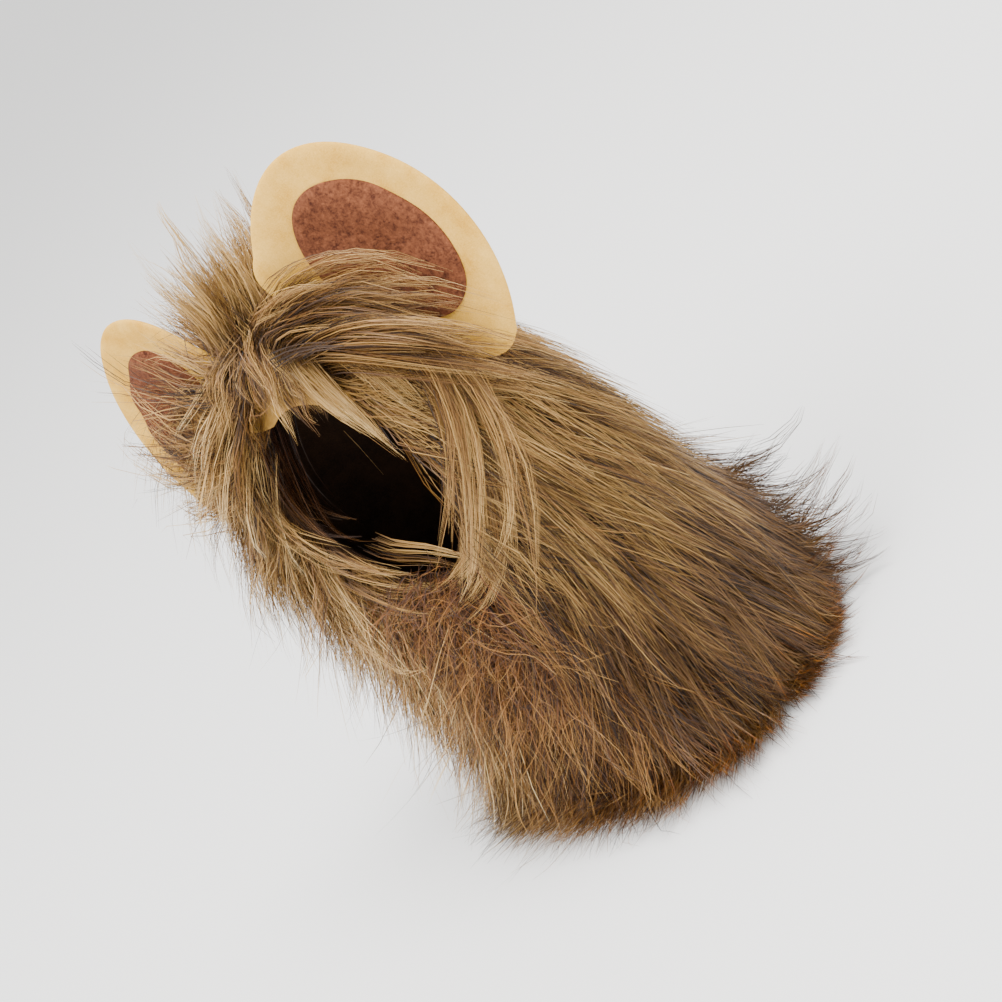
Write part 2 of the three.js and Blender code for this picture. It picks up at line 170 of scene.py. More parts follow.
@dataclass(frozen=True)
class Hood:
    """The hood's fabric as a formula: an oval tube that flares to the hem and closes over the crown.

    `shift` is where the hood's own zero lies in the row frame. Below `hem_zone` the layers inside the
    fabric are
    set off level with it, so that their lower edges stay at one height.
    """

    half_width: float = 66.0
    half_depth: float = 30.0
    crown: float = 198.0
    shoulder: float = 100.0
    hem_half_width: float = 70.0
    hem_half_depth: float = 43.0
    flare: float = 110.0
    lean: float = 9.0
    slump: float = 10.0
    fullness: float = 2.6
    wall: float = 2.5
    face_half_width: float = 36.0
    face_half_height: float = 44.0
    face_height: float = 145.0
    lining_rise: float = 3.0
    hem_zone: float = 30.0
    shift: tuple[float, float] = (0.0, 0.0)

    def section(self, z: Array, grow: float = 0.0) -> tuple[Array, Array, Array, Array, Array]:
        """Half-width, half-depth, sideways slump, middle line and closing of the oval at each height.

        Args:
            z: Heights.
            grow: How far the outer face is grown.

        Returns:
            Half-width, half-depth, the middle in x and in y, and how far the crown has closed, from 0 to 1.
        """
        up = np.maximum(z, 0)
        flare = np.maximum(0, 1 - up / self.flare) ** 2
        closing = np.maximum(0, (z - self.shoulder) / (self.crown - self.shoulder + grow))
        return (
            self.half_width + (self.hem_half_width - self.half_width) * flare + grow,
            self.half_depth + (self.hem_half_depth - self.half_depth) * flare + grow,
            -self.slump * (up / self.crown) ** 2,
            self.lean * (0.5 - z / self.crown),
            closing,
        )

    def outside(self, points: Array) -> Array:
        """Below 0 inside the fabric's outer face, 0 on it and above 0 outside.

        Args:
            points: (..., 3) points.

        Returns:
            (...) values.
        """
        half_width, half_depth, side, middle, closing = self.section(points[..., 2])
        across = (points[..., 0] - side) / half_width
        along = (points[..., 1] - middle) / half_depth
        return across**2 + along**2 + closing**self.fullness - 1

    def slope(self, points: Array) -> Array:
        """The gradient of `outside`, by central differences."""
        step = 0.05
        gaps = [self.outside(points + way) - self.outside(points - way) for way in np.eye(3) * step]
        return np.stack(gaps, axis=-1) / (2 * step)

    def settled(self, points: Array, passes: int = 3) -> Array:
        """The points brought back to the fabric along that gradient, by Newton's steps.

        Args:
            points: (..., 3) points near the fabric.
            passes: How many steps are taken.

        Returns:
            (..., 3) points on it.
        """
        result = points
        for _ in range(passes):
            slope = self.slope(result)
            steepness = np.maximum((slope**2).sum(-1), TINY)
            result = result - slope * (self.outside(result) / steepness)[..., None]
        return result

    def height(self, rise: Array, grow: float = 0.0) -> Array:
        """Height along the profile: 0 at the hem, a half at the shoulder and 1 at the crown's top."""
        bend = np.sin(np.clip(rise * 2 - 1, 0, 1) * np.pi / 2) ** (2 / self.fullness)
        return np.minimum(rise * 2, 1) * self.shoulder + bend * (self.crown + grow - self.shoulder)

    def surface(self, turn: Array, z: Array, grow: float = 0.0) -> Array:
        """The outer face grown by some millimetres: middle + half size * room * (cos, sin) of the turn.

        Args:
            turn: Turns round the hood, in radians.
            z: Heights.
            grow: How far the outer face is grown.

        Returns:
            (..., 3) points.
        """
        half_width, half_depth, side, middle, closing = self.section(z, grow)
        room = np.sqrt(np.maximum(0, 1 - closing**self.fullness))
        x = side + half_width * room * np.cos(turn)
        y = middle + half_depth * room * np.sin(turn)
        return np.stack([x, y, z + 0 * x], axis=-1)

    def front(self, x: Array, z: Array, grow: float = 0.0) -> Array:
        """The point of the fabric's front over each place in x and z.

        Args:
            x: Places across.
            z: Heights.
            grow: How far the outer face is grown.

        Returns:
            (..., 3) points.
        """
        half_width, half_depth, side, middle, closing = self.section(z, grow)
        room = np.maximum(0, 1 - closing**self.fullness - ((x - side) / half_width) ** 2)
        return np.stack([x, middle - half_depth * np.sqrt(room), z], axis=-1)

    def face_side(self) -> float:
        """Where the middle of the face opening lies in x."""
        return float(self.section(np.array(self.face_height))[2])

    def face_reach(self, points: Array) -> Array:
        """How far out a place is in the face opening's oval: 0 at its middle, 1 on its edge.

        Args:
            points: (..., 3) points.

        Returns:
            (...) reaches.
        """
        across = (points[..., 0] - self.face_side()) / self.face_half_width
        up = (points[..., 2] - self.face_height) / self.face_half_height
        return np.hypot(across, up)

    def in_front(self, points: Array) -> Array:
        """Whether each point lies in front of the hood's middle line."""
        return points[..., 1] < self.section(points[..., 2])[3]

    def row_frame(self, points: Array) -> Array:
        """Points of the hood's frame in the row frame."""
        return points + np.array([*self.shift, 0.0])

    def inset(self, points: Array, depth: float) -> Array:
        """Points of the fabric's outer face moved inward along its normal, level with it near the hem.

        Args:
            points: (..., 3) points on the outer face.
            depth: How far they move.

        Returns:
            (..., 3) points.
        """
        normal = self.slope(points)
        normal[..., 2] *= np.clip(points[..., 2] / self.hem_zone, 0, 1)
        return points - unit(normal) * depth

    def cut_grid(self, bottom: float, turns: int = 104, rises: int = 78) -> tuple[Array, Array]:
        """A grid over the fabric with the face opening cut out along its oval.

        The grid runs round the hood and up its profile. In front, places whose reach in the oval lies between
        `inner` and `outer` are moved outward to fill the ring from 1 to `outer`, and the quads within are
        left out.
        Those up to `slack` past `inner` land on the oval itself, which gives it a clean edge.

        Args:
            bottom: Height of the lowest row.
            turns: Points round.
            rises: Points up.

        Returns:
            Points and the quads that stay.
        """
        lowest, highest = bottom / self.shoulder / 2, 0.9999
        rise = lowest + np.linspace(0, 1, rises) * (highest - lowest)
        turn, level = np.meshgrid(np.arange(turns) * TAU / turns, self.height(rise))
        points = self.surface(turn, level).reshape(-1, 3)
        faces = grid_faces(rises, turns, True)
        inner, outer, slack = 0.35, 1.3, 0.06
        reach = self.face_reach(points)
        hole = self.in_front(points) & (reach < inner)
        faces = faces[~hole[faces].any(axis=1)]
        moved = self.in_front(points) & (reach < outer) & ~hole
        share = np.clip((reach - inner - slack) / (outer - inner - slack), 0, 1)
        scale = np.where(moved, (1 + (outer - 1) * share) / np.maximum(reach, 1e-6), 1)
        x = self.face_side() + (points[:, 0] - self.face_side()) * scale
        z = self.face_height + (points[:, 2] - self.face_height) * scale
        points = np.where(moved[:, None], self.front(x, z), points)
        return points, faces


@dataclass(frozen=True)
class EarShape:
    """One ear as a formula: a dished pad over a skewed oval outline, leaning back on the crown."""

    side: int
    out: float
    height: float
    slope: float
    half_width: float = 43.0
    tall: float = 46.0
    root: float = 24.0
    skew: float = 12.0
    thickness: float = 5.0
    cup: float = 5.0
    forward: float = 6.0
    lean: float = 15.0
    edge_thinning: float = 0.75
    top_squareness: float = 0.92
    root_squareness: float = 0.7
    root_shown: float = 0.7

    def axes(self, hood: Hood) -> tuple[Array, Array, Array, Array]:
        """Origin, the way along the base, up the ear and out of its front.

        Args:
            hood: The hood that it stands on.

        Returns:
            The origin and three unit vectors.
        """
        slope, lean = np.radians([self.slope, self.lean])
        along = np.array([self.side * np.cos(slope), 0, -np.sin(slope)])
        rise = np.array([self.side * np.sin(slope), 0, np.cos(slope)])
        up = rise * np.cos(lean) + np.array([0, np.sin(lean), 0])
        front = np.cross(along, up) * self.side
        middle = hood.section(np.array(self.height))[2]
        return np.array([middle + self.side * self.out, -self.forward, self.height]), along, up, front

    def slide(self, height: Array) -> Array:
        """How far the outline has slid towards the crown at a height over the base."""
        return -self.skew * np.maximum(0, height / self.tall)

    def sheet(self, across: Array, height: Array) -> tuple[Array, Array, Array]:
        """The middle sheet's dish, half its thickness, and the reach (1 on the outline).

        Args:
            across: Places along the base.
            height: Places up the ear.

        Returns:
            The offset of the middle sheet, half the thickness, and the square of the reach.
        """
        straight = (across - self.slide(height)) / self.half_width
        rim = straight**2 + (height / self.tall) ** 2
        held = np.minimum(1, rim)
        half = self.thickness / 2 * np.sqrt(1 - self.edge_thinning * held**2)
        return -self.cup * (1 - held), half, rim

    def local(self, points: Array, hood: Hood) -> tuple[Array, Array, Array]:
        """Points of the hood's frame as across, height and off in the ear's own axes.

        Args:
            points: (..., 3) points.
            hood: The hood that it stands on.

        Returns:
            Three (...) arrays.
        """
        origin, along, up, front = self.axes(hood)
        away = points - origin
        return away @ along, away @ up, away @ front

    def outline(self, turn: Array) -> tuple[Array, Array]:
        """The edge's places, across and in height: powers of the cosine and the sine, squarer below the base.

        Args:
            turn: Turns round the outline, in radians.

        Returns:
            Across and height.
        """
        above = np.sin(turn) > 0
        squareness = np.where(above, self.top_squareness, self.root_squareness)
        height = np.sign(np.sin(turn)) * np.abs(np.sin(turn)) ** squareness
        height = height * np.where(above, self.tall, self.root * self.root_shown)
        across = np.sign(np.cos(turn)) * np.abs(np.cos(turn)) ** squareness * self.half_width
        return across + self.slide(height), height

    def place(self, across: Array, height: Array, off: Array, hood: Hood) -> Array:
        """The reverse of `local`."""
        origin, along, up, front = self.axes(hood)
        return origin + across[..., None] * along + height[..., None] * up + off[..., None] * front


def ripple(a: Array, b: Array, scale: float, seed: int) -> Array:
    """Soft random waves over two coordinates: a sum of sines of random way and phase, mostly from -1 to 1.

    Args:
        a: First coordinate.
        b: Second coordinate.
        scale: Mean length of the waves.
        seed: Picks the waves.

    Returns:
        The waves' height at each place.
    """
    rng = np.random.default_rng(seed)
    total = np.zeros(np.broadcast(a, b).shape)
    waves = 6
    angles, phases = rng.uniform(0, TAU, waves), rng.uniform(0, TAU, waves)
    for angle, phase, pace in zip(angles, phases, rng.uniform(0.6, 1.6, waves)):
        total += np.sin((a * np.cos(angle) + b * np.sin(angle)) * TAU * pace / scale + phase)
    return total / (waves / 2)


def build_node(
    tree: bpy.types.NodeTree,
    kind: str,
    inputs: dict[str | int, object] | None = None,
    **settings: object,
) -> bpy.types.Node:
    """Adds one node with its settings, constants and links.

    Args:
        tree: The node tree.
        kind: The node's type name.
        inputs: For each input, a constant or the output socket that feeds it.
        **settings: Attributes of the node.

    Returns:
        The node.
    """
    made = tree.nodes.new(kind)
    for name, value in settings.items():
        setattr(made, name, value)
    for name, value in (inputs or {}).items():
        if isinstance(value, bpy.types.NodeSocket):
            tree.links.new(value, made.inputs[name])
        else:
            made.inputs[name].default_value = value
    return made


def ramp(tree: bpy.types.NodeTree, factor: bpy.types.NodeSocket, stops: Stops) -> bpy.types.NodeSocket:
    """A colour ramp through sRGB stops, and its colour output.

    Args:
        tree: The node tree.
        factor: The socket that picks the place on the ramp.
        stops: Places and hex codes.

    Returns:
        The colour output.
    """
    made = build_node(tree, "ShaderNodeValToRGB", {"Fac": factor})
    elements = made.color_ramp.elements
    while len(elements) < len(stops):
        elements.new(0.5)
    for element, (position, colour) in zip(elements, stops):
        element.position = position
        element.color = linear(colour)
    return made.outputs["Color"]


def new_material(name: str) -> tuple[bpy.types.Material, bpy.types.NodeTree]:
    """An empty node material and its tree.

    Args:
        name: The material's name.

    Returns:
        The material and its tree.
    """
    material = bpy.data.materials.new(name)
    material.use_nodes = True
    material.node_tree.nodes.clear()
    return material, material.node_tree


def close_material(tree: bpy.types.NodeTree, inputs: dict[str | int, object]) -> None:
    """Ends a material with one principled surface."""
    shader = build_node(tree, "ShaderNodeBsdfPrincipled", inputs)
    build_node(tree, "ShaderNodeOutputMaterial", {"Surface": shader.outputs["BSDF"]})


@dataclass(frozen=True)
class Coat:
    """Acrylic long-pile fur, tip-dyed: the colour runs up each fibre, and fibres differ in tone.

    It reads only the strands' own map: u is the tone from dark to light, partly painted shade, v runs from root
    to tip. `dye` holds the colours from root to tip with their places in v, on the far side partly painted
    light, and `steps` is how many straight lengths make up a fibre, more where it curls.
    """

    dye: Stops
    tones: Stops = ((0.0, "#3A2817"), (0.3, "#A2855C"), (0.62, "#E2D0AC"), (1.0, "#FFF8E2"))
    shine: float = 0.35
    roughness: float = 0.5
    steps: int = 4

    def material(self, name: str) -> bpy.types.Material:
        """The finish as a node material: the dye's colour times the tone's.

        Args:
            name: The material's name.

        Returns:
            The material.
        """
        material, tree = new_material(name)
        source = build_node(tree, "ShaderNodeUVMap", uv_map=UV_NAME)
        split = build_node(tree, "ShaderNodeSeparateXYZ", {"Vector": source.outputs["UV"]})
        along = ramp(tree, split.outputs["Y"], self.dye)
        tone = ramp(tree, split.outputs["X"], self.tones)
        mixed = build_node(
            tree, "ShaderNodeMix", {0: 1.0, 6: along, 7: tone}, data_type="RGBA", blend_type="MULTIPLY"
        )
        close_material(
            tree,
            {"Base Color": mixed.outputs[2], "Roughness": self.roughness, "Specular IOR Level": self.shine},
        )
        return material


@dataclass(frozen=True)
class Cloth:
    """Woven or napped cloth, dyed: two close colours in soft blotches, a fine grain, and a nap that catches
    light.

    `grain_share` is how much of the colour the grain gives, and `contrast` holds the noise values at which
    the
    cloth is fully in shade and fully light.
    """

    name: str
    shade: str
    light: str
    blotch_mm: float
    grain_mm: float
    grain_height_mm: float
    nap: float
    roughness: float = 0.9
    grain_share: float = 0.4
    contrast: tuple[float, float] = (0.36, 0.64)

    def material(self) -> bpy.types.Material:
        """The finish as a node material.

        Returns:
            The material.
        """
        material, tree = new_material(self.name)
        place = build_node(tree, "ShaderNodeTexCoord").outputs["Object"]
        blotch, grain = (
            build_node(
                tree,
                "ShaderNodeTexNoise",
                {"Vector": place, "Scale": 1 / (size * MM), "Detail": detail, "Roughness": rough},
            ).outputs["Fac"]
            for size, detail, rough in ((self.blotch_mm, 4.0, 0.65), (self.grain_mm, 3.0, 0.6))
        )
        both = build_node(tree, "ShaderNodeMix", {0: self.grain_share, 2: blotch, 3: grain}, data_type="FLOAT")
        colour = ramp(tree, both.outputs[0], tuple(zip(self.contrast, (self.shade, self.light))))
        bump = build_node(
            tree,
            "ShaderNodeBump",
            {"Strength": 0.6, "Distance": self.grain_height_mm * MM, "Height": grain},
        )
        close_material(
            tree,
            {
                "Base Color": colour,
                "Roughness": self.roughness,
                "Specular IOR Level": 0.2,
                "Sheen Weight": self.nap,
                "Sheen Roughness": 0.5,
                "Sheen Tint": linear(self.light),
                "Normal": bump.outputs["Normal"],
            },
        )
        return material


class Region(Enum):
    """The parts of the coat, each one piece with its own colours; the far side's are paler and partly painted
    light.
    """

    CROWN = "crown"
    NEAR = "near"
    NEAR_LOW = "near_low"
    FAR = "far"
    FAR_LOW = "far_low"
    THROAT = "throat"
    BIB = "bib"
    BACK = "back"
    BACK_LOW = "back_low"
    HEM = "hem"


REGION_NUMBERS = {region: number for number, region in enumerate(Region)}

COATS = {
    Region.CROWN: Coat(((0.0, "#4A341C"), (0.35, "#AE8C58"), (0.75, "#C3A470"), (1.0, "#DCC294")), steps=5),
    Region.NEAR: Coat(((0.0, "#3A2815"), (0.35, "#9A7E4E"), (0.75, "#A08454"), (1.0, "#7A5E3A"))),
    Region.NEAR_LOW: Coat(((0.0, "#281A0C"), (0.35, "#6E532F"), (0.75, "#6E5230"), (1.0, "#3A2816"))),
    # The far side: paler fur, lightened further as painted light on that side.
    Region.FAR: Coat(((0.0, "#7A5C38"), (0.3, "#CDAE7E"), (0.7, "#E4CCA4"), (1.0, "#FBF0DA"))),
    Region.FAR_LOW: Coat(
        ((0.0, "#4A341E"), (0.4, "#A88A60"), (0.75, "#BFA47C"), (0.9, "#6A5844"), (1.0, "#26211C"))
    ),
    Region.THROAT: Coat(((0.0, "#3A1E0C"), (0.3, "#86592C"), (0.75, "#A67E4A"), (1.0, "#C8A670")), steps=10),
    Region.BIB: Coat(
        (
            (0.0, "#341B0B"),
            (0.35, "#70471C"),
            (0.66, "#8A6434"),
            (0.82, "#B08A58"),
            (0.92, "#5A4430"),
            (1.0, "#241D18"),
        ),
        steps=6,
    ),
    Region.BACK: Coat(((0.0, "#46301A"), (0.35, "#A5834E"), (0.75, "#A08050"), (1.0, "#6E5434"))),
    Region.BACK_LOW: Coat(((0.0, "#34220F"), (0.35, "#7A5C36"), (0.75, "#6E5232"), (1.0, "#34251A"))),
    Region.HEM: Coat(
        (
            (0.0, "#2C1C0D"),
            (0.35, "#775B34"),
            (0.7, "#806339"),
            (0.82, "#AE6C22"),
            (0.92, "#754A1C"),
            (1.0, "#1A130E"),
        )
    ),
}


@dataclass(frozen=True)
class Combed:
    """How the pile lies at one place, given in shares of the hood's half-width, half-depth and height.

    `run` is the way it is combed, `stand` how many millimetres its tips stand off the fabric, and `mess`
    how far
    tufts and fibres stray from that way.
    """

    place: str
    at: tuple[float, float, float]
    run: tuple[float, float, float]
    stand: float
    mess: float


COMBING = (
    Combed("tuft", (0.0, 0.1, 1.0), (0.1, 0.45, 0.88), 52, 0.2),
    Combed("far tuft", (-0.25, 0.05, 0.99), (-0.4, 0.25, 0.85), 52, 0.25),
    Combed("far crown", (-0.5, -0.15, 0.95), (-0.85, -0.1, 0.3), 34, 0.3),
    Combed("forelock", (0.0, -0.75, 0.96), (0.3, -0.4, -0.5), 12, 0.2),
    Combed("over the near ear", (0.35, -0.35, 0.98), (0.95, -0.1, -0.05), 30, 0.15),
    Combed("over the far ear", (-0.4, -0.75, 0.93), (-0.85, -0.25, -0.15), 24, 0.3),
    Combed("near brow", (0.55, -0.7, 0.88), (0.7, -0.1, -0.7), 14, 0.15),
    Combed("near cheek", (0.78, -0.7, 0.72), (0.25, 0.08, -0.95), 13, 0.06),
    Combed("near rim", (0.45, -0.9, 0.66), (-0.15, -0.3, -0.9), 18, 0.2),
    Combed("near jaw", (0.5, -0.9, 0.5), (0.1, -0.15, -0.95), 22, 0.12),
    Combed("far cheek", (-0.72, -0.8, 0.78), (-0.8, -0.2, -0.6), 24, 0.3),
    Combed("far rim", (-0.42, -0.95, 0.6), (0.4, -0.2, -0.8), 18, 0.3),
    Combed("far jaw", (-0.75, -0.85, 0.5), (-0.4, -0.25, -0.85), 30, 0.35),
    Combed("chin", (0.05, -1.0, 0.5), (-0.1, -0.4, -0.8), 26, 0.7),
    Combed("throat", (-0.02, -1.0, 0.34), (-0.5, -0.3, -0.8), 14, 0.9),
    Combed("low throat", (-0.05, -1.0, 0.2), (-0.3, -0.3, -0.85), 18, 0.7),
    Combed("near edge of the throat", (0.38, -0.92, 0.34), (0.2, -0.05, -1.0), 24, 0.12),
    Combed("far edge of the throat", (-0.42, -0.92, 0.3), (-0.3, -0.35, -0.85), 27, 0.35),
    Combed("bib", (0.05, -1.0, 0.06), (-0.1, -0.4, -0.9), 36, 0.3),
    Combed("near side", (1.0, 0.0, 0.5), (0.05, 0.12, -1.0), 14, 0.04),
    Combed("far side", (-1.0, 0.0, 0.5), (-0.15, -0.1, -1.0), 30, 0.25),
    Combed("near hem", (1.0, 0.0, 0.1), (0.0, 0.1, -1.0), 7, 0.1),
    Combed("far hem", (-1.0, 0.2, 0.1), (-0.1, 0.1, -1.0), 20, 0.25),
    Combed("nape", (0.0, 1.0, 0.55), (0.0, 0.1, -1.0), 10, 0.1),
    Combed("near back", (0.75, 0.7, 0.45), (0.05, 0.1, -1.0), 10, 0.05),
    Combed("back hem", (0.5, 0.9, 0.06), (0.3, 0.4, -0.85), 32, 0.2),
    Combed("back of the crown", (0.0, 0.8, 0.95), (0.0, 0.7, -0.7), 15, 0.12),
)


TONE_RANGE = (0.02, 0.98)


@dataclass(frozen=True)
class PartingShadow:
    """The painted shadow in front, where the near side's fur hangs over the throat's tangle and the two part.

    It runs up from the hem, bending outward with the square of the height.
    """

    foot: float = 3.0
    bend: float = 27.0
    bend_height: float = 115.0
    top: float = 120.0
    half_width: float = 6.0

    def depth(self, hood: Hood, points: Array) -> Array:
        """How deep in the painted shadow each point lies: 1 on its line, falling off by a bell, and 0 behind or
        above it.

        Args:
            hood: The hood.
            points: (n, 3) points on it.

        Returns:
            (n,) values from 0 to 1.
        """
        line = self.foot + self.bend * (points[:, 2] / self.bend_height) ** 2
        bell = np.exp(-(((points[:, 0] - line) / self.half_width) ** 2))
        return bell * hood.in_front(points) * (points[:, 2] < self.top)


@dataclass(frozen=True)
class Toning:
    """How dark or light the fibres are, from 0 to 1: shares that tufts, wisps, fibres and places each add.

    Most wisps are a little lighter than `base` and some lie in shade. A few coarse guard hairs are dark.
    Patches of tone, `patch_mm` wide, and the wisps' own differences grow with the mess of the pile. Along the
    parting the fibres are darkened as a painted shadow.
    """

    base: float = 0.6
    tufts: float = 0.1
    shaded_wisps: float = 0.35
    shade: float = -0.34
    lit: float = 0.08
    wisps: tuple[float, float] = (0.09, 0.3)
    fibres: float = 0.2
    guard_hairs: float = 0.12
    guard_shade: float = 0.5
    patch_mm: float = 20.0
    patches: tuple[float, float] = (0.05, 0.5)
    parting_shade: float = 0.5
    parting: PartingShadow = PartingShadow()

    def of_wisps(self, rng: np.random.Generator, of_tuft: Array, mess: Array) -> Array:
        """What each wisp adds: its tuft's difference, its own, and whether it lies in shade.

        Args:
            rng: The random numbers.
            of_tuft: (w,) number of each wisp's tuft.
            mess: (w,) mess of the pile.

        Returns:
            (w,) values.
        """
        of_tufts = rng.normal(0, self.tufts, of_tuft.max() + 1)[of_tuft]
        shaded = rng.uniform(0, 1, len(of_tuft)) < self.shaded_wisps
        own = rng.normal(0, 1, len(of_tuft)) * (self.wisps[0] + self.wisps[1] * np.clip(mess, 0, 1))
        return np.where(shaded, self.shade, self.lit) + own + of_tufts

    def of_fibres(self, rng: np.random.Generator, hood: Hood, roots: Array, mess: Array, added: Array) -> Array:
        """Each fibre's tone: the base, what its wisp added, its place's patch, the parting's painted shadow,
        and its own difference.

        Args:
            rng: The random numbers.
            hood: The hood.
            roots: (n, 3) roots.
            mess: (n,) mess of the pile.
            added: (n,) values of the fibres' wisps.

        Returns:
            (n,) tones.
        """
        guard = rng.uniform(0, 1, len(roots)) < self.guard_hairs
        strength = self.patches[0] + self.patches[1] * np.clip(mess, 0, 1)
        patches_and_parting_shadow = ripple(roots[:, 0], roots[:, 2], self.patch_mm, 11) * strength
        # painted shadow: fibres along the parting are darkened where the near side's fur overhangs the throat
        patches_and_parting_shadow = patches_and_parting_shadow - self.parting_shade * self.parting.depth(hood, roots)
        own = rng.normal(0, self.fibres, len(roots))
        return np.clip(self.base + added + patches_and_parting_shadow + own - self.guard_shade * guard, *TONE_RANGE)


@dataclass
class Fur:
    """The long pile as ribbons in a hierarchy: tufts, wisps inside each tuft, and fibres inside each wisp.

    Lengths are millimetres. A pair of numbers is a range that even random draws come from, except in the
    fields
    that end in `_by_mess`, where a value is the first number plus the second times the mess of the pile
    there.
    """

    hood: Hood
    ears: tuple[EarShape, ...]
    tufts: int = 1250
    wisps_per_tuft: int = 8
    fibres_per_wisp: int = 8
    length: float = 60.0
    comb_reach: float = 0.2
    guide_steps: int = 12
    segments: int = 10
    fibre_width: float = 0.34
    fibre_widths: tuple[float, float] = (0.55, 1.45)
    tuft_turn_by_mess: tuple[float, float] = (0.07, 0.75)
    tuft_stand: tuple[float, float] = (0.7, 1.3)
    wisp_spread: float = 3.6
    wisp_length: tuple[float, float] = (0.75, 1.08)
    wisp_turn: float = 0.07
    wisp_layers: tuple[float, float] = (0.25, 1.05)
    wisp_pull: tuple[float, float] = (0.1, 0.6)
    fibre_spread: float = 1.7
    fibre_kept: tuple[float, float] = (0.55, 1.0)
    fibre_pull: tuple[float, float] = (0.15, 0.85)
    strays: float = 0.05
    stray_scale: float = 3.5
    swing_by_mess: tuple[float, float] = (0.7, 7.0)
    wave_turns_by_mess: tuple[float, float] = (3.0, 9.0)
    wave_height_by_mess: tuple[float, float] = (0.5, 3.2)
    lift_power: float = 0.85
    splay_floor: float = 2.0
    splay: float = 0.8
    splay_curl: tuple[float, float] = (0.0, 0.55)
    hem_reach: float = 3.0
    bib_reach: float = 26.0
    free_from: float = 30.0
    free_over: float = 20.0
    free_reach: float = 0.68
    free_spread: float = 0.12
    rim_zone: float = 1.25
    rim_fade: float = 1.3
    rim_lift: tuple[float, float] = (3.0, 9.0)
    ear_gap: tuple[float, float] = (0.2, 5.0)
    ear_margin: float = 1.12
    patch_room: float = 1.9
    face_keep: tuple[float, float] = (0.92, 1.05)
    floor_gap: tuple[float, float] = (0.5, 2.5)
    brow_share: float = 0.6
    bare_brow: float = 0.9
    bare_face: float = 0.85
    crossing_left: float = 0.01
    toning: Toning = Toning()
    room: tuple[float, float, float] = (100.0, 72.0, 250.0)
    stays_beyond: float = 0.25
    rng: np.random.Generator = field(default_factory=lambda: np.random.default_rng(7))

    def comb(self, points: Array) -> tuple[Array, Array, Array]:
        """The pile's way, stand and mess at each point: the table's rows blended by a bell over their
        distance.

        Args:
            points: (..., 3) points on the fabric.

        Returns:
            (..., 3) ways, (...) stands and (...) values of mess.
        """
        half_width, half_depth, side, middle, _ = self.hood.section(points[..., 2])
        across = (points[..., 0] - side) / half_width
        along = (points[..., 1] - middle) / half_depth
        here = np.stack([across, along, points[..., 2] / self.hood.crown], axis=-1)
        at = np.array([row.at for row in COMBING])
        apart = ((here[..., None, :] - at) ** 2).sum(-1)
        weight = np.exp(-apart / (2 * self.comb_reach**2)) + 1e-12
        weight /= weight.sum(-1, keepdims=True)
        return (
            weight @ np.array([row.run for row in COMBING]),
            weight @ np.array([float(row.stand) for row in COMBING]),
            weight @ np.array([row.mess for row in COMBING]),
        )

    def roots(self, count: int) -> Array:
        """Points spread evenly by area over the fabric, outside the face opening.

        Args:
            count: How many.

        Returns:
            (count, 3) points.
        """
        turns, rises = 200, 160
        lowest, highest = 0.002, 0.995
        rise = (np.arange(rises) + 0.5) / rises * highest
        turn, level = np.meshgrid((np.arange(turns) + 0.5) * TAU / turns, self.hood.height(rise))
        points = self.hood.surface(turn, level)
        along = np.linalg.norm(np.gradient(points, axis=1), axis=-1)
        up = np.linalg.norm(np.gradient(points, axis=0), axis=-1)
        reach = self.hood.face_reach(points)
        weight = along * up * ~(self.hood.in_front(points) & (reach < 1.0))
        cells = self.rng.choice(weight.size, count, p=(weight / weight.sum()).ravel())
        jitter = self.rng.uniform(-0.5, 0.5, (2, count))
        turn = (cells % turns + 0.5 + jitter[0]) * TAU / turns
        rise = np.clip((cells // turns + 0.5 + jitter[1]) / rises * highest, lowest, highest)
        return self.hood.surface(turn, self.hood.height(rise))

    def around(self, centres: Array, times: int, spread: float) -> Array:
        """Several points on the fabric near each centre, by a normal spread, outside the face opening.

        Args:
            centres: (n, 3) points.
            times: How many points near each.
            spread: The spread's deviation.

        Returns:
            (n * times, 3) points.
        """
        points = np.repeat(centres, times, axis=0)
        points = self.hood.settled(points + self.rng.normal(0, spread, points.shape))
        points[:, 2] = np.clip(points[:, 2], 0.3, self.hood.crown - 0.05)
        reach = self.hood.face_reach(points)
        scale = np.where(self.hood.in_front(points) & (reach < 1.0), 1.0 / np.maximum(reach, 1e-6), 1)
        x = self.hood.face_side() + (points[:, 0] - self.hood.face_side()) * scale
        z = self.hood.face_height + (points[:, 2] - self.hood.face_height) * scale
        return np.where((scale > 1)[:, None], self.hood.front(x, z), points)

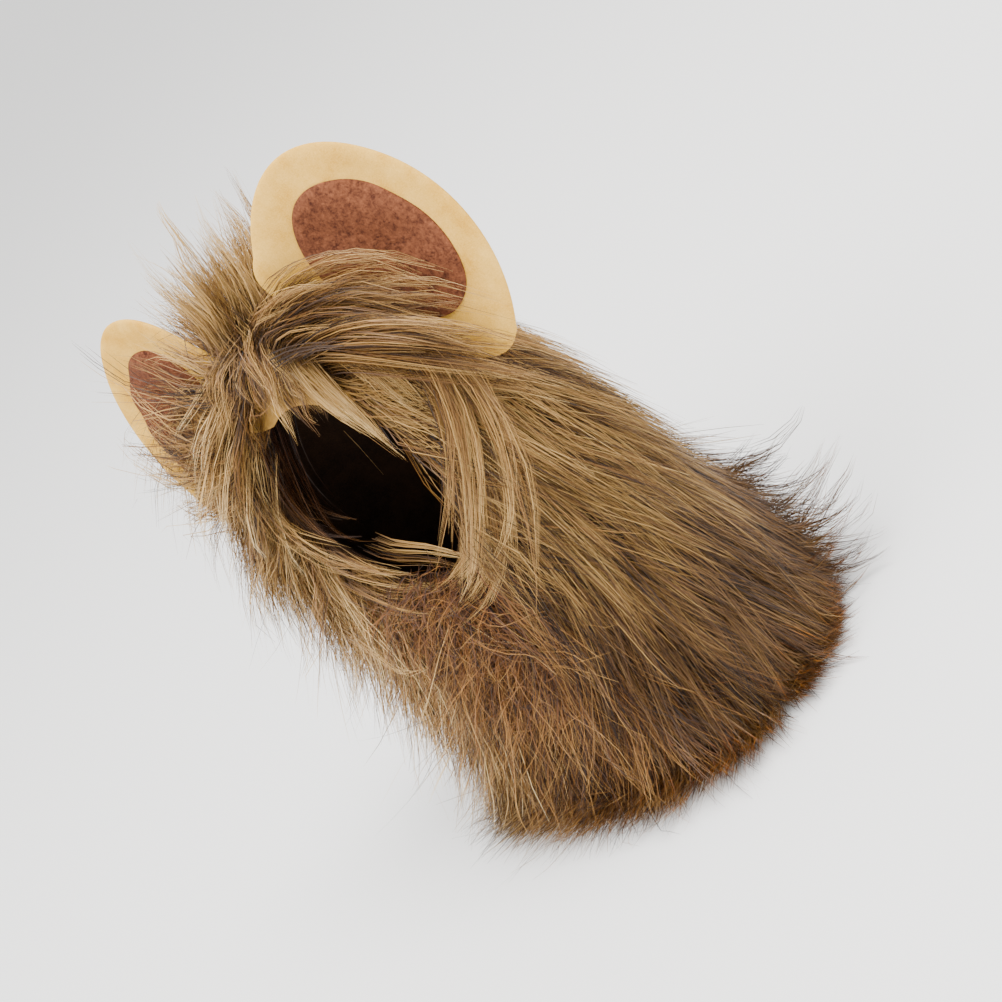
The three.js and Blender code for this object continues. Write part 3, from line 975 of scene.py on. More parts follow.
    def paths(self, roots: Array, length: Array, turned: Array, stand_scale: Array) -> Array:
        """Combed paths from the roots: feet that follow the fabric, each point lifted along its normal.

        The lift grows with a power of the share of the path. A foot that comes down to the floor turns
        outward,
        and pile that is combed to stand far off leaves the fabric and runs straight.

        Args:
            roots: (n, 3) points on the fabric.
            length: (n,) length of each path.
            turned: (n,) radians by which each path is turned off the combed way.
            stand_scale: (n,) factor on the combed stand.

        Returns:
            (n, steps + 1, 3) points.
        """
        foot = roots.copy()
        splay = np.zeros(len(roots))
        curl = self.rng.uniform(*self.splay_curl, len(roots))
        frontness = np.maximum(0, -unit(self.hood.slope(roots))[:, 1])
        past_hem = self.hem_reach + (self.bib_reach - self.hem_reach) * frontness
        reach = np.minimum(length, roots[:, 2] + past_hem)
        free_way, free_stand, _ = self.comb(roots)
        free = np.clip((free_stand - self.free_from) / self.free_over, 0, 1)[:, None]
        free_way = unit(free_way + self.rng.normal(0, self.free_spread, free_way.shape))
        free_way = free_way * reach[:, None] * self.free_reach
        path = []
        for i in range(self.guide_steps + 1):
            share = i / self.guide_steps
            normal = unit(self.hood.slope(foot))
            run, stand, _ = self.comb(foot)
            stand = stand * stand_scale * reach / self.length
            way = unit(run - (run * normal).sum(-1, keepdims=True) * normal)
            sideways = np.cross(normal, way)
            way = way * np.cos(turned)[:, None] + sideways * np.sin(turned)[:, None]
            level = unit(normal * np.array([1, 1, 0]))
            spot = foot + normal * (stand * share**self.lift_power)[:, None] + level * splay[:, None]
            spot[:, 2] += splay * curl
            path.append(spot + (roots + free_way * share - spot) * free)
            forward = np.sqrt(np.maximum((reach / 4) ** 2, reach**2 - stand**2)) / self.guide_steps
            foot = foot + way * forward[:, None]
            splay += np.maximum(0, self.splay_floor - foot[:, 2]) * self.splay
            foot[:, 2] = np.maximum(foot[:, 2], self.splay_floor)
            foot = self.hood.settled(foot, 2)
            foot[:, 2] = np.clip(foot[:, 2], self.splay_floor * 0.5, self.hood.crown - 0.02)
        return np.stack(path, axis=1)

    def clear_of_ears(self, spots: Array, gap: Array) -> Array:
        """Moves points out of the ears' padding, to the face that their root lies on.

        Args:
            spots: (n, k, 3) path points.
            gap: (n, 1) room left over the padding.

        Returns:
            (n, k, 3) points.
        """
        ease = np.clip(np.linspace(0, 1, spots.shape[1]) * 5, 0, 1)
        for ear in self.ears:
            across, height, off = ear.local(spots, self.hood)
            dish, half, rim = ear.sheet(across, height)
            face = np.where(off[:, :1] >= -1, 1, -1)
            patch = self.patch_room * (face > 0)
            limit = dish + face * (half + patch + gap)
            buried = (rim < self.ear_margin) & (height > -ear.root) & (face * (off - limit) < 0)
            spots = ear.place(across, height, np.where(buried, off + (limit - off) * ease, off), self.hood)
        return spots

    def clear_of_face(self, spots: Array, keep: Array) -> Array:
        """Moves points that hang in front of the face opening out towards its edge.

        Args:
            spots: (n, k, 3) path points.
            keep: (n, 1) reach that they are moved out to.

        Returns:
            (n, k, 3) points.
        """
        reach = self.hood.face_reach(spots)
        inside = self.hood.in_front(spots) & (reach < keep)
        scale = np.where(inside, (keep - (keep - reach) * 0.25) / np.maximum(reach, 0.2), 1)
        centre = np.array([self.hood.face_side(), 0, self.hood.face_height])
        moved = centre + (spots - centre) * scale[..., None]
        moved[..., 1] = spots[..., 1]
        return moved

    def within(self, spots: Array) -> Array:
        """Draws tips that stray past `room` back: a share of what lies beyond it stays.

        Args:
            spots: (n, k, 3) path points.

        Returns:
            (n, k, 3) points.
        """
        offset = np.array([*self.hood.shift, 0.0])
        limit = np.array(self.room)
        placed = spots + offset
        beyond = np.maximum(np.abs(placed) - limit, 0)
        return placed - np.sign(placed) * beyond * (1 - self.stays_beyond) - offset

    def guides(self) -> tuple[Array, Array, Array]:
        """The wisps' combed paths, each drawn part of the way to its tuft's own path.

        Returns:
            (w, 3) roots, (w, guide_steps + 1, 3) points, and (w,) numbers of the tufts that the wisps
            belong to.
        """
        tuft_roots = self.roots(self.tufts)
        _, _, mess = self.comb(tuft_roots)
        low_turn, more_turn = self.tuft_turn_by_mess
        turned = self.rng.normal(0, 1, self.tufts) * (low_turn + more_turn * mess)
        stand = self.rng.uniform(*self.tuft_stand, self.tufts)
        tuft_paths = self.paths(tuft_roots, np.full(self.tufts, self.length), turned, stand)
        roots = self.around(tuft_roots, self.wisps_per_tuft, self.wisp_spread)
        of_tuft = np.repeat(np.arange(self.tufts), self.wisps_per_tuft)
        layer = self.rng.uniform(0, 1, len(roots))
        length = self.length * self.rng.uniform(*self.wisp_length, len(roots))
        turned = turned[of_tuft] + self.rng.normal(0, self.wisp_turn, len(roots))
        lowest, more = self.wisp_layers
        paths = self.paths(roots, length, turned, stand[of_tuft] * (lowest + more * layer))
        share = np.linspace(0, 1, self.guide_steps + 1)
        pull = (self.rng.uniform(*self.wisp_pull, len(roots))[:, None] * share**1.4)[..., None]
        return roots, paths + (tuft_paths[of_tuft] - paths) * pull, of_tuft

    def fibres(self, wisp_roots: Array, wisp_paths: Array) -> tuple[Array, Array, Array, Array]:
        """Fibres along the wisps' paths: rooted apart, closing up towards the tip, with swings and waves.

        Args:
            wisp_roots: (w, 3) roots.
            wisp_paths: (w, guide_steps + 1, 3) points.

        Returns:
            (n, segments + 1, 3) points, (n, 3) roots, (n,) shares of a whole fibre's length, and (n,) mess.
        """
        times = self.fibres_per_wisp
        wisps = len(wisp_roots)
        count = wisps * times
        of_wisp = np.repeat(np.arange(wisps), times)
        roots = self.around(wisp_roots, times, self.fibre_spread)
        kept = self.rng.uniform(*self.fibre_kept, count)
        at = np.linspace(0, 1, self.segments + 1)[None, :] * kept[:, None] * self.guide_steps
        low = np.minimum(at.astype(int), self.guide_steps - 1)
        part = (at - low)[..., None]
        guide = wisp_paths[of_wisp]
        rows = np.arange(count)[:, None]
        spots = guide[rows, low] * (1 - part) + guide[rows, low + 1] * part
        along = np.linspace(0, 1, self.segments + 1)[None, :, None]
        pull = self.rng.uniform(*self.fibre_pull, count)[:, None, None] * along**1.3
        spots = spots + (roots - guide[:, 0])[:, None, :] * (1 - pull)
        _, _, mess = self.comb(roots)
        stray = np.where(self.rng.uniform(0, 1, count) < self.strays, self.stray_scale, 1.0)
        loose = (self.swing_by_mess[0] + self.swing_by_mess[1] * mess) * stray
        swing = self.rng.normal(0, 1, (count, 1, 3)) * loose[:, None, None] * along**1.5 * 0.8
        phase = self.rng.uniform(0, TAU, (wisps, 1, 3))[of_wisp] + self.rng.normal(0, 0.5, (count, 1, 3))
        turns = self.wave_turns_by_mess[0] + self.wave_turns_by_mess[1] * mess[:, None, None]
        waves = np.sin(along * turns + phase) - np.sin(phase)
        wave_height = self.wave_height_by_mess[0] + self.wave_height_by_mess[1] * mess
        return spots + swing + waves * wave_height[:, None, None] * along, roots, kept, mess

    def placed(self, spots: Array, roots: Array) -> Array:
        """Rolls the rim's fibres forward, and keeps all clear of the ears, the face opening and the floor.

        Args:
            spots: (n, k, 3) path points.
            roots: (n, 3) roots.

        Returns:
            (n, k, 3) points.
        """
        count = len(roots)
        along = np.linspace(0, 1, spots.shape[1])[None, :, None]
        rim = self.hood.face_reach(roots)
        at_rim = self.hood.in_front(roots) & (rim < self.rim_zone)
        centre = np.array([self.hood.face_side(), 0, self.hood.face_height])
        inward = unit((centre - roots) * np.array([1, 0, 1])) * 0.5 + np.array([0, -1.0, 0])
        fade = np.clip((self.rim_fade - rim) * 4, 0, 1)
        lift = (at_rim * self.rng.uniform(*self.rim_lift, count) * fade)[:, None, None]
        spots = spots + inward[:, None, :] * lift * np.sin(np.pi * np.minimum(along * 1.4, 1))
        spots = self.clear_of_ears(spots, self.rng.uniform(*self.ear_gap, (count, 1)))
        spots = self.clear_of_face(spots, self.rng.uniform(*self.face_keep, (count, 1)))
        spots[..., 2] = np.maximum(spots[..., 2], self.rng.uniform(*self.floor_gap, (count, 1)))
        return spots

    def strands(self) -> tuple[Array, Array, Array, Array]:
        """All fibres' paths, roots and tones, without nearly all of those that cross the face opening.

        Returns:
            (n, segments + 1, 3) points, (n, 3) roots, (n,) tones from 0, dark, to 1, light, and (n,) shares
            of a
            whole fibre's length.
        """
        wisp_roots, wisp_paths, of_tuft = self.guides()
        spots, roots, kept, mess = self.fibres(wisp_roots, wisp_paths)
        spots = self.placed(spots, roots)
        _, _, wisp_mess = self.comb(wisp_roots)
        added = np.repeat(self.toning.of_wisps(self.rng, of_tuft, wisp_mess), self.fibres_per_wisp)
        tone = self.toning.of_fibres(self.rng, self.hood, roots, mess, added)
        brow = spots[..., 2] > self.hood.face_height + self.brow_share * self.hood.face_half_height
        bare = np.where(brow, self.bare_brow, self.bare_face)
        crossing = (self.hood.in_front(spots) & (self.hood.face_reach(spots) < bare)).any(axis=1)
        left = ~crossing | (self.rng.uniform(0, 1, len(roots)) < self.crossing_left)
        return spots[left], roots[left], tone[left], kept[left]

    def ribbons(self, spots: Array, tone: Array, width: Array, kept: Array) -> tuple[Array, Array, Array]:
        """Flat tapering strips along the paths, facing outward with some roll.

        Across each path point the strip spans the cross product of the path's way and the way out from the
        hood's
        middle, turned about the path by the strip's roll. Its half-width falls towards the tip as the
        square root
        of the length that is left.

        Args:
            spots: (n, k, 3) path points.
            tone: (n,) map coordinate u.
            width: (n,) full width at the widest.
            kept: (n,) share of a whole fibre's length that is left, and so of its dye.

        Returns:
            Points, quads and map coordinates.
        """
        count, rings, _ = spots.shape
        way = unit(np.gradient(spots, axis=1))
        _, _, side, middle, _ = self.hood.section(spots[:, :1, 2])
        out = spots - np.stack([side, middle, np.minimum(spots[:, :1, 2], self.hood.shoulder)], axis=-1)
        across = unit(np.cross(way, out))
        facing = np.cross(across, way)
        roll = self.rng.normal(0, 0.6, (count, 1, 1))
        across = across * np.cos(roll) + facing * np.sin(roll)
        along = np.linspace(0, 1, rings)
        taper = np.sqrt(np.clip(1.02 - along, 0, 1)) * np.minimum(1, 0.55 + 3 * along)
        half = (width[:, None] * taper[None, :] / 2)[..., None] * across
        points = np.stack([spots - half, spots + half], axis=2).reshape(-1, 3)
        start = np.arange(count)[:, None] * rings * 2
        ring = np.arange(rings - 1)[None, :] * 2
        first = (start + ring)[..., None]
        faces = (first + np.array([0, 1, 3, 2])).reshape(-1, 4)
        u = tone[:, None, None] + np.array([-0.01, 0.01])
        v = np.clip(along * kept[:, None] + self.rng.uniform(-0.04, 0.04, (count, 1)), 0.01, 0.99)
        uv = np.stack(np.broadcast_arrays(u, v[..., None]), axis=-1).reshape(-1, 2)
        return points, faces, uv

    def region_of(self, roots: Array) -> Array:
        """The region number of each root, with a soft random border.

        Args:
            roots: (n, 3) roots.

        Returns:
            (n,) numbers.
        """
        blurred = roots + self.rng.normal(0, 1, roots.shape) * np.array([7, 7, 15])
        _, _, side, middle, _ = self.hood.section(roots[:, 2])
        x, y, z = blurred[:, 0] - side, blurred[:, 1] - middle, blurred[:, 2]
        behind = y > self.hood.half_depth * 0.75
        before = (y < 0) & (x < 24) & (x > -26)
        region = np.full(len(roots), REGION_NUMBERS[Region.FAR])
        for name, inside in (
            (Region.NEAR, x > 0),
            (Region.NEAR_LOW, (x > 0) & (z < 100)),
            (Region.BACK, behind),
            (Region.BACK_LOW, behind & (z < 100)),
            (Region.CROWN, z > 158),
            (Region.HEM, z < 45),
            (Region.FAR_LOW, (x < -24) & (z < 58)),
            (Region.THROAT, before & (z < 112)),
            (Region.BIB, before & (z < 48)),
        ):
            region = np.where(inside, REGION_NUMBERS[name], region)
        return region

    def build(self) -> list[bpy.types.Object]:
        """Grows the fibres, adds the laid fur, and makes one object for each region.

        Returns:
            The objects, in the regions' order.
        """
        spots, roots, tone, kept = self.strands()
        region = self.region_of(roots)
        width = self.fibre_width * self.rng.uniform(*self.fibre_widths, len(roots))
        for laid in (*BUNCHES, Curls(self.hood), Fringe(self.hood)):
            points, tones = laid.strands(self.rng, self.segments + 1)
            spots = np.concatenate([spots, points])
            tone = np.concatenate([tone, tones])
            width = np.concatenate([width, laid.width * self.rng.uniform(0.6, 1.4, laid.count)])
            kept = np.concatenate([kept, self.rng.uniform(0.85, 1.0, laid.count)])
            region = np.concatenate([region, np.full(laid.count, REGION_NUMBERS[laid.region])])
        spots = self.within(spots)
        made = []
        for name, number in REGION_NUMBERS.items():
            chosen = region == number
            rings = np.linspace(0, self.segments, COATS[name].steps + 1).round().astype(int)
            points, faces, uv = self.ribbons(spots[chosen][:, rings], tone[chosen], width[chosen], kept[chosen])
            obj = mesh_object(f"fur_{name.value}", self.hood.row_frame(points), faces, uv)
            obj.data.materials.append(COATS[name].material(obj.name))
            LOG.info("%s: %d fibres, %d triangles", obj.name, chosen.sum(), len(faces) * 2)
            made.append(obj)
        return made


@dataclass(frozen=True)
class Bunch:
    """Wisps laid along one curve through three or four given places, with a spread at each end.

    A wisp starts and ends at its own shares of the curve, and its fibres, which lie apart at the root,
    close up
    towards the tip. Lengths are millimetres.
    """

    places: tuple[tuple[float, float, float], ...]
    wisps: int
    root_spread: float
    tip_spread: float
    tone: float = 0.55
    fibres: int = 16
    width: float = 0.3
    region: Region = Region.CROWN
    starts: tuple[float, float] = (0.0, 0.22)
    ends: tuple[float, float] = (0.66, 1.03)
    uneven_ends: tuple[float, float] = (-0.18, 0.05)
    closed: float = 0.45
    open: float = 1.5
    wave_turns: float = 6.0
    wave_height: float = 2.2
    wisp_tones: float = 0.17
    fibre_tones: float = 0.2

    @property
    def count(self) -> int:
        """How many fibres it has in all."""
        return self.wisps * self.fibres

    def curve(self, t: Array) -> Array:
        """The polynomial through the places at even shares: each place weighed by its Lagrange product.

        Args:
            t: (n, k, 1) shares of the curve.

        Returns:
            (n, k, 3) points.
        """
        knots = np.linspace(0, 1, len(self.places))
        total = 0.0
        for here, place in enumerate(self.places):
            others = np.delete(knots, here)
            weight = np.prod((t - others) / (knots[here] - others), axis=-1, keepdims=True)
            total = total + weight * np.array(place)
        return total

    def strands(self, rng: np.random.Generator, rings: int) -> tuple[Array, Array]:
        """The fibres' paths and tones: the curve, plus each wisp's place in the bunch and each fibre's in it.

        Args:
            rng: The random numbers.
            rings: Points along each fibre.

        Returns:
            (count, rings, 3) points and (count,) tones.
        """
        of_wisp = np.repeat(np.arange(self.wisps), self.fibres)
        first = rng.uniform(*self.starts, (self.wisps, 1, 1))[of_wisp]
        last = rng.uniform(*self.ends, (self.wisps, 1, 1))[of_wisp]
        last = last + rng.uniform(*self.uneven_ends, (self.count, 1, 1))
        t = first + (last - first) * np.linspace(0, 1, rings)[None, :, None]
        apart = rng.normal(0, 1, (self.wisps, 1, 3))[of_wisp]
        phase = rng.uniform(0, TAU, (self.wisps, 1, 3))[of_wisp]
        beside = rng.normal(0, 1, (self.count, 1, 3))
        spread = self.root_spread * (1 - t) + self.tip_spread * t
        wave = (np.sin(t * self.wave_turns + phase) - np.sin(phase)) * self.wave_height * t
        closing = self.closed + self.open * np.clip(last - t, 0, 1) ** 0.7
        points = self.curve(t) + apart * spread + beside * closing + wave
        tones = self.tone + rng.normal(0, self.wisp_tones, self.wisps)[of_wisp]
        tones = tones + rng.normal(0, self.fibre_tones, self.count)
        return points, np.clip(tones, *TONE_RANGE)


BUNCHES = (
    # The two strands that hang over the face opening.
    Bunch(((10, -18, 195), (20, -30, 181), (29, -37, 150)), 14, 1.3, 0.9, 0.78),
    Bunch(((18, -14, 194), (33, -25, 181), (43, -29, 160)), 10, 1.3, 1.2, 0.7),
    # Over the base of the near ear, from its top down to the cheek.
    Bunch(((2, -10, 195), (18, -19, 205), (34, -18, 206), (50, -17, 199)), 22, 3.5, 3.5, 0.3),
    Bunch(((6, -12, 195), (26, -20, 205), (46, -18, 201), (64, -16, 184)), 28, 3.8, 3.8, 0.34),
    Bunch(((10, -15, 193), (32, -23, 197), (54, -20, 190), (76, -16, 163)), 32, 3.8, 4.5, 0.3),
    Bunch(((18, -18, 190), (38, -24, 188), (58, -22, 174), (78, -14, 146)), 28, 4.0, 5.0, 0.28),
    # The fur of the brow, which falls to the opening's upper edge.
    Bunch(((-10, -12, 195), (-9, -21, 192), (-8, -27, 180)), 24, 3.5, 4.0, 0.3, 12),
    Bunch(((0, -12, 196), (3, -21, 192), (5, -28, 178)), 28, 3.5, 4.0, 0.4, 12),
    Bunch(((9, -13, 194), (12, -23, 189), (14, -28, 177)), 22, 3.0, 3.0, 0.3, 12),
    Bunch(((-14, -12, 196), (-19, -18, 193), (-24, -22, 186)), 16, 3.5, 4.0, 0.12, 12),
    Bunch(((-13, -17, 190), (-19, -26, 184), (-24, -29, 171)), 16, 2.2, 2.5, 0.18, 10),
    # Over the base of the far ear and down the far side of the opening.
    Bunch(((-22, -16, 190), (-40, -26, 182), (-60, -28, 163)), 22, 4.0, 8.0, 0.75, 12, 0.28, Region.FAR),
    Bunch(((-26, -18, 184), (-42, -30, 168), (-52, -32, 146)), 20, 4.0, 8.0, 0.7, 12, 0.28, Region.FAR),
    Bunch(((-16, -12, 196), (-24, -22, 192), (-34, -30, 178)), 18, 5.0, 5.0, 0.55, 14),
    Bunch(
        ((-14, -16, 187), (-29, -20, 166), (-33, -26, 144), (-20, -30, 130)),
        *(18, 2.5, 3.5, 0.08, 9, 0.28, Region.THROAT),
    ),
    # The crown's tufts.
    Bunch(((-4, -4, 196), (3, 5, 218), (6, 13, 243)), 12, 4.5, 5.0, 0.85),
    Bunch(((-12, -6, 196), (-6, 0, 218), (-4, 7, 242)), 12, 4.5, 5.0, 0.9),
    Bunch(((-18, -8, 195), (-15, -5, 216), (-16, -2, 241)), 12, 4.5, 5.0, 0.9),
    # The thick rim beside and below the opening, and the chin.
    Bunch(((39, -14, 186), (53, -21, 157), (42, -33, 128), (14, -40, 96)), 38, 2.2, 7.0, 0.6, 15),
    Bunch(((45, -23, 148), (38, -33, 121), (18, -40, 103), (-6, -41, 97)), 20, 2.4, 6.0, 0.68, 14),
    Bunch(((-27, -30, 168), (-41, -33, 146), (-32, -37, 129), (-16, -39, 117)), 9, 1.3, 2.0, 0.62, 6, 0.26),
    Bunch(((-34, -30, 122), (-16, -38, 111), (4, -41, 103)), 18, 6.0, 7.0, 0.6, 12),
    # Dark wisps that flick out at the near hem and behind it.
    Bunch(((50, 32, 34), (64, 43, 26), (84, 56, 36)), 13, 5.0, 5.0, 0.3, 9, 0.32, Region.HEM),
    Bunch(((56, 26, 32), (72, 35, 20), (94, 42, 34)), 13, 5.0, 5.0, 0.3, 9, 0.32, Region.HEM),
    Bunch(((62, 18, 28), (76, 25, 14), (95, 26, 22)), 13, 4.0, 5.0, 0.25, 9, 0.32, Region.HEM),
    Bunch(((40, 38, 50), (54, 47, 42), (70, 55, 46)), 13, 5.0, 5.0, 0.35, 9, 0.32, Region.BACK_LOW),
)


@dataclass(frozen=True)
class Curls:
    """A tangle over the throat: arcs of circles of random size and tilt, drawn out along a drift."""

    hood: Hood
    low: tuple[float, float] = (-22.0, 48.0)
    high: tuple[float, float] = (12.0, 112.0)
    count: int = 2200
    lift: tuple[float, float] = (6.0, 17.0)
    radius: tuple[float, float] = (2.5, 8.0)
    turns: tuple[float, float] = (0.2, 0.65)
    drift: float = 20.0
    comb: tuple[float, float, float] = (-0.4, -0.1, -0.8)
    width: float = 0.3
    region: Region = Region.THROAT

    def strands(self, rng: np.random.Generator, rings: int) -> tuple[Array, Array]:
        """The fibres' paths and tones: centre + radius * (a cos + b sin) + drift along the throat's comb.

        Args:
            rng: The random numbers.
            rings: Points along each fibre.

        Returns:
            (count, rings, 3) points and (count,) tones.
        """
        x, z = rng.uniform(np.array(self.low), np.array(self.high), (self.count, 2)).T
        start = self.hood.front(x, z)
        start = start + unit(self.hood.slope(start)) * rng.uniform(*self.lift, (self.count, 1))
        a = unit(rng.normal(0, 1, (self.count, 3)) * np.array([1, 0.45, 1]))
        b = unit(np.cross(a, unit(rng.normal(0, 0.5, (self.count, 3)) + np.array([0, 1, 0]))))
        way = unit(np.array(self.comb) + rng.normal(0, 0.35, (self.count, 3)))
        t = np.linspace(0, 1, rings)[None, :, None]
        begin = rng.uniform(0, TAU, self.count)[:, None, None]
        angle = begin + TAU * rng.uniform(*self.turns, self.count)[:, None, None] * t
        size = rng.uniform(*self.radius, self.count)[:, None, None]
        circle = size * (a[:, None] * np.cos(angle) + b[:, None] * np.sin(angle))
        drawn = way[:, None] * self.drift * rng.uniform(0.4, 1.4, (self.count, 1, 1)) * t
        return start[:, None] + circle + drawn, np.clip(rng.normal(0.5, 0.22, self.count), *TONE_RANGE)


@dataclass(frozen=True)
class Fringe:
    """Sparse long wisps round the hem that lie out over the floor and turn up at their dark tips."""

    hood: Hood
    wisps: int = 150
    fibres: int = 7
    from_height: tuple[float, float] = (10.0, 30.0)
    reach: tuple[float, float] = (14.0, 30.0)
    astray: float = 0.18
    sag: float = 2.0
    tips: tuple[float, float] = (1.0, 9.0)
    floor_gap: float = 0.6
    tone: float = 0.35
    width: float = 0.32
    region: Region = Region.HEM

    @property
    def count(self) -> int:
        """How many fibres it has in all."""
        return self.wisps * self.fibres

    def strands(self, rng: np.random.Generator, rings: int) -> tuple[Array, Array]:
        """The fibres' paths and tones: outward from the fabric, in height a quadratic that turns up at its
        end.

        Args:
            rng: The random numbers.
            rings: Points along each fibre.

        Returns:
            (count, rings, 3) points and (count,) tones.
        """
        turn = rng.uniform(0, TAU, self.wisps)
        start = self.hood.surface(turn, rng.uniform(*self.from_height, self.wisps))
        level = np.array([1, 1, 0])
        out = unit(self.hood.slope(start) * level + rng.normal(0, self.astray, start.shape) * level)
        reach = rng.uniform(*self.reach, self.wisps)
        tip = rng.uniform(*self.tips, self.wisps)
        of_wisp = np.repeat(np.arange(self.wisps), self.fibres)
        last = rng.uniform(0.75, 1.03, (self.count, 1, 1))
        t = np.linspace(0, 1, rings)[None, :, None] * last
        across = start[of_wisp, None] + out[of_wisp, None] * reach[of_wisp, None, None] * t**1.3
        height = start[of_wisp, None, 2:] * (1 - t) ** 2 + self.sag * 2 * t * (1 - t)
        height = height + tip[of_wisp, None, None] * t**2
        beside = rng.normal(0, 1, (self.count, 1, 3)) * (0.25 + 1.6 * np.clip(last - t, 0, 1))
        points = np.concatenate([across[..., :2], height], axis=-1) + beside
        points[..., 2] = np.maximum(points[..., 2], self.floor_gap)
        tones = self.tone + rng.normal(0, 0.12, self.wisps)[of_wisp] + rng.normal(0, 0.1, self.count)
        return points, np.clip(tones, *TONE_RANGE)


@dataclass
class Fabric:
    """The hood's wall and its lining, each a closed shell between two grown copies of the hood's formula."""

    hood: Hood
    clearance: float = 0.3
    lining_thickness: float = 1.2
    hide: Cloth = Cloth("fur_backing", "#2E1E10", "#4A3420", 9.0, 0.9, 0.3, 0.1)
    lining: Cloth = Cloth("lining_cloth", "#1A0F08", "#342112", 14.0, 0.5, 0.1, 0.15)

    def build(self) -> tuple[bpy.types.Object, bpy.types.Object, float]:
        """Makes both shells.

        Returns:
            The wall, the lining, and the lining's area in square metres.
        """
        face, faces = self.hood.cut_grid(0.0)
        points, quads = shell(face, self.hood.inset(face, self.hood.wall), faces)
        wall = mesh_object("mane_fabric", self.hood.row_frame(points), quads)
        wall.data.materials.append(self.hide.material())
        face, faces = self.hood.cut_grid(self.hood.lining_rise)
        depth = self.hood.wall + self.clearance
        outer = self.hood.inset(face, depth)
        points, quads = shell(outer, self.hood.inset(face, depth + self.lining_thickness), faces)
        lining = mesh_object("hood_lining", self.hood.row_frame(points), quads)
        lining.data.materials.append(self.lining.material())
        corner = outer[faces]
        crossed = np.cross(corner[:, 2] - corner[:, 0], corner[:, 3] - corner[:, 1])
        area = np.linalg.norm(crossed, axis=1).sum() / 2
        return wall, lining, float(area) * MM * MM


@dataclass
class BrowBand:
    """The smooth strip along the upper edge of the face opening.

    It runs from `start` to `end` degrees round the oval, over a grid of `stations` by `lanes`, and swells by
    `swell` mid-width over edges that lie `sunk` into the fabric's face.
    """

    hood: Hood
    width: float = 10.0
    start: float = 38.0
    end: float = 128.0
    thickness: float = 2.5
    clearance: float = 0.3
    swell: float = 0.5
    sunk: float = 0.4
    stations: int = 60
    lanes: int = 9
    cloth: Cloth = Cloth("band_cloth", "#8E692E", "#A88040", 6.0, 0.35, 0.08, 0.1)

    def build(self) -> tuple[bpy.types.Object, float]:
        """A strip over the hood's front: polar places between two ovals, its outer layer swelling mid-width.

        Returns:
            The strip and its length in metres.
        """
        turns = np.radians(np.linspace(self.start, self.end, self.stations))
        turn, share = np.meshgrid(turns, np.linspace(0, 1, self.lanes), indexing="ij")
        ends = np.sin(np.pi * np.linspace(0.02, 0.98, self.stations))
        rounded = np.sqrt(np.clip(ends * 1.8, 0, 1))[:, None]
        inset = self.clearance + share * self.width * rounded
        x = self.hood.face_side() + (self.hood.face_half_width - inset) * np.cos(turn)
        z = self.hood.face_height + (self.hood.face_half_height - inset) * np.sin(turn)
        swell = self.swell * np.sqrt(np.sin(np.pi * np.clip(share, 0.02, 0.98))) - self.sunk
        front = self.hood.front(x, z)
        outer = front + np.stack([0 * x, -swell, 0 * x], axis=-1)
        inner = front + np.array([0, self.thickness - self.sunk, 0])
        faces = grid_faces(self.stations, self.lanes, False)
        points, quads = shell(outer.reshape(-1, 3), inner.reshape(-1, 3), faces)
        band = mesh_object("brow_strip", self.hood.row_frame(points), quads)
        band.data.materials.append(self.cloth.material())
        length = np.linalg.norm(np.diff(outer[:, self.lanes // 2], axis=0), axis=1).sum()
        return band, float(length) * MM


Outline = Callable[[Array], tuple[Array, Array]]
FaceAt = Callable[[Array, Array, Array, Array], Array]


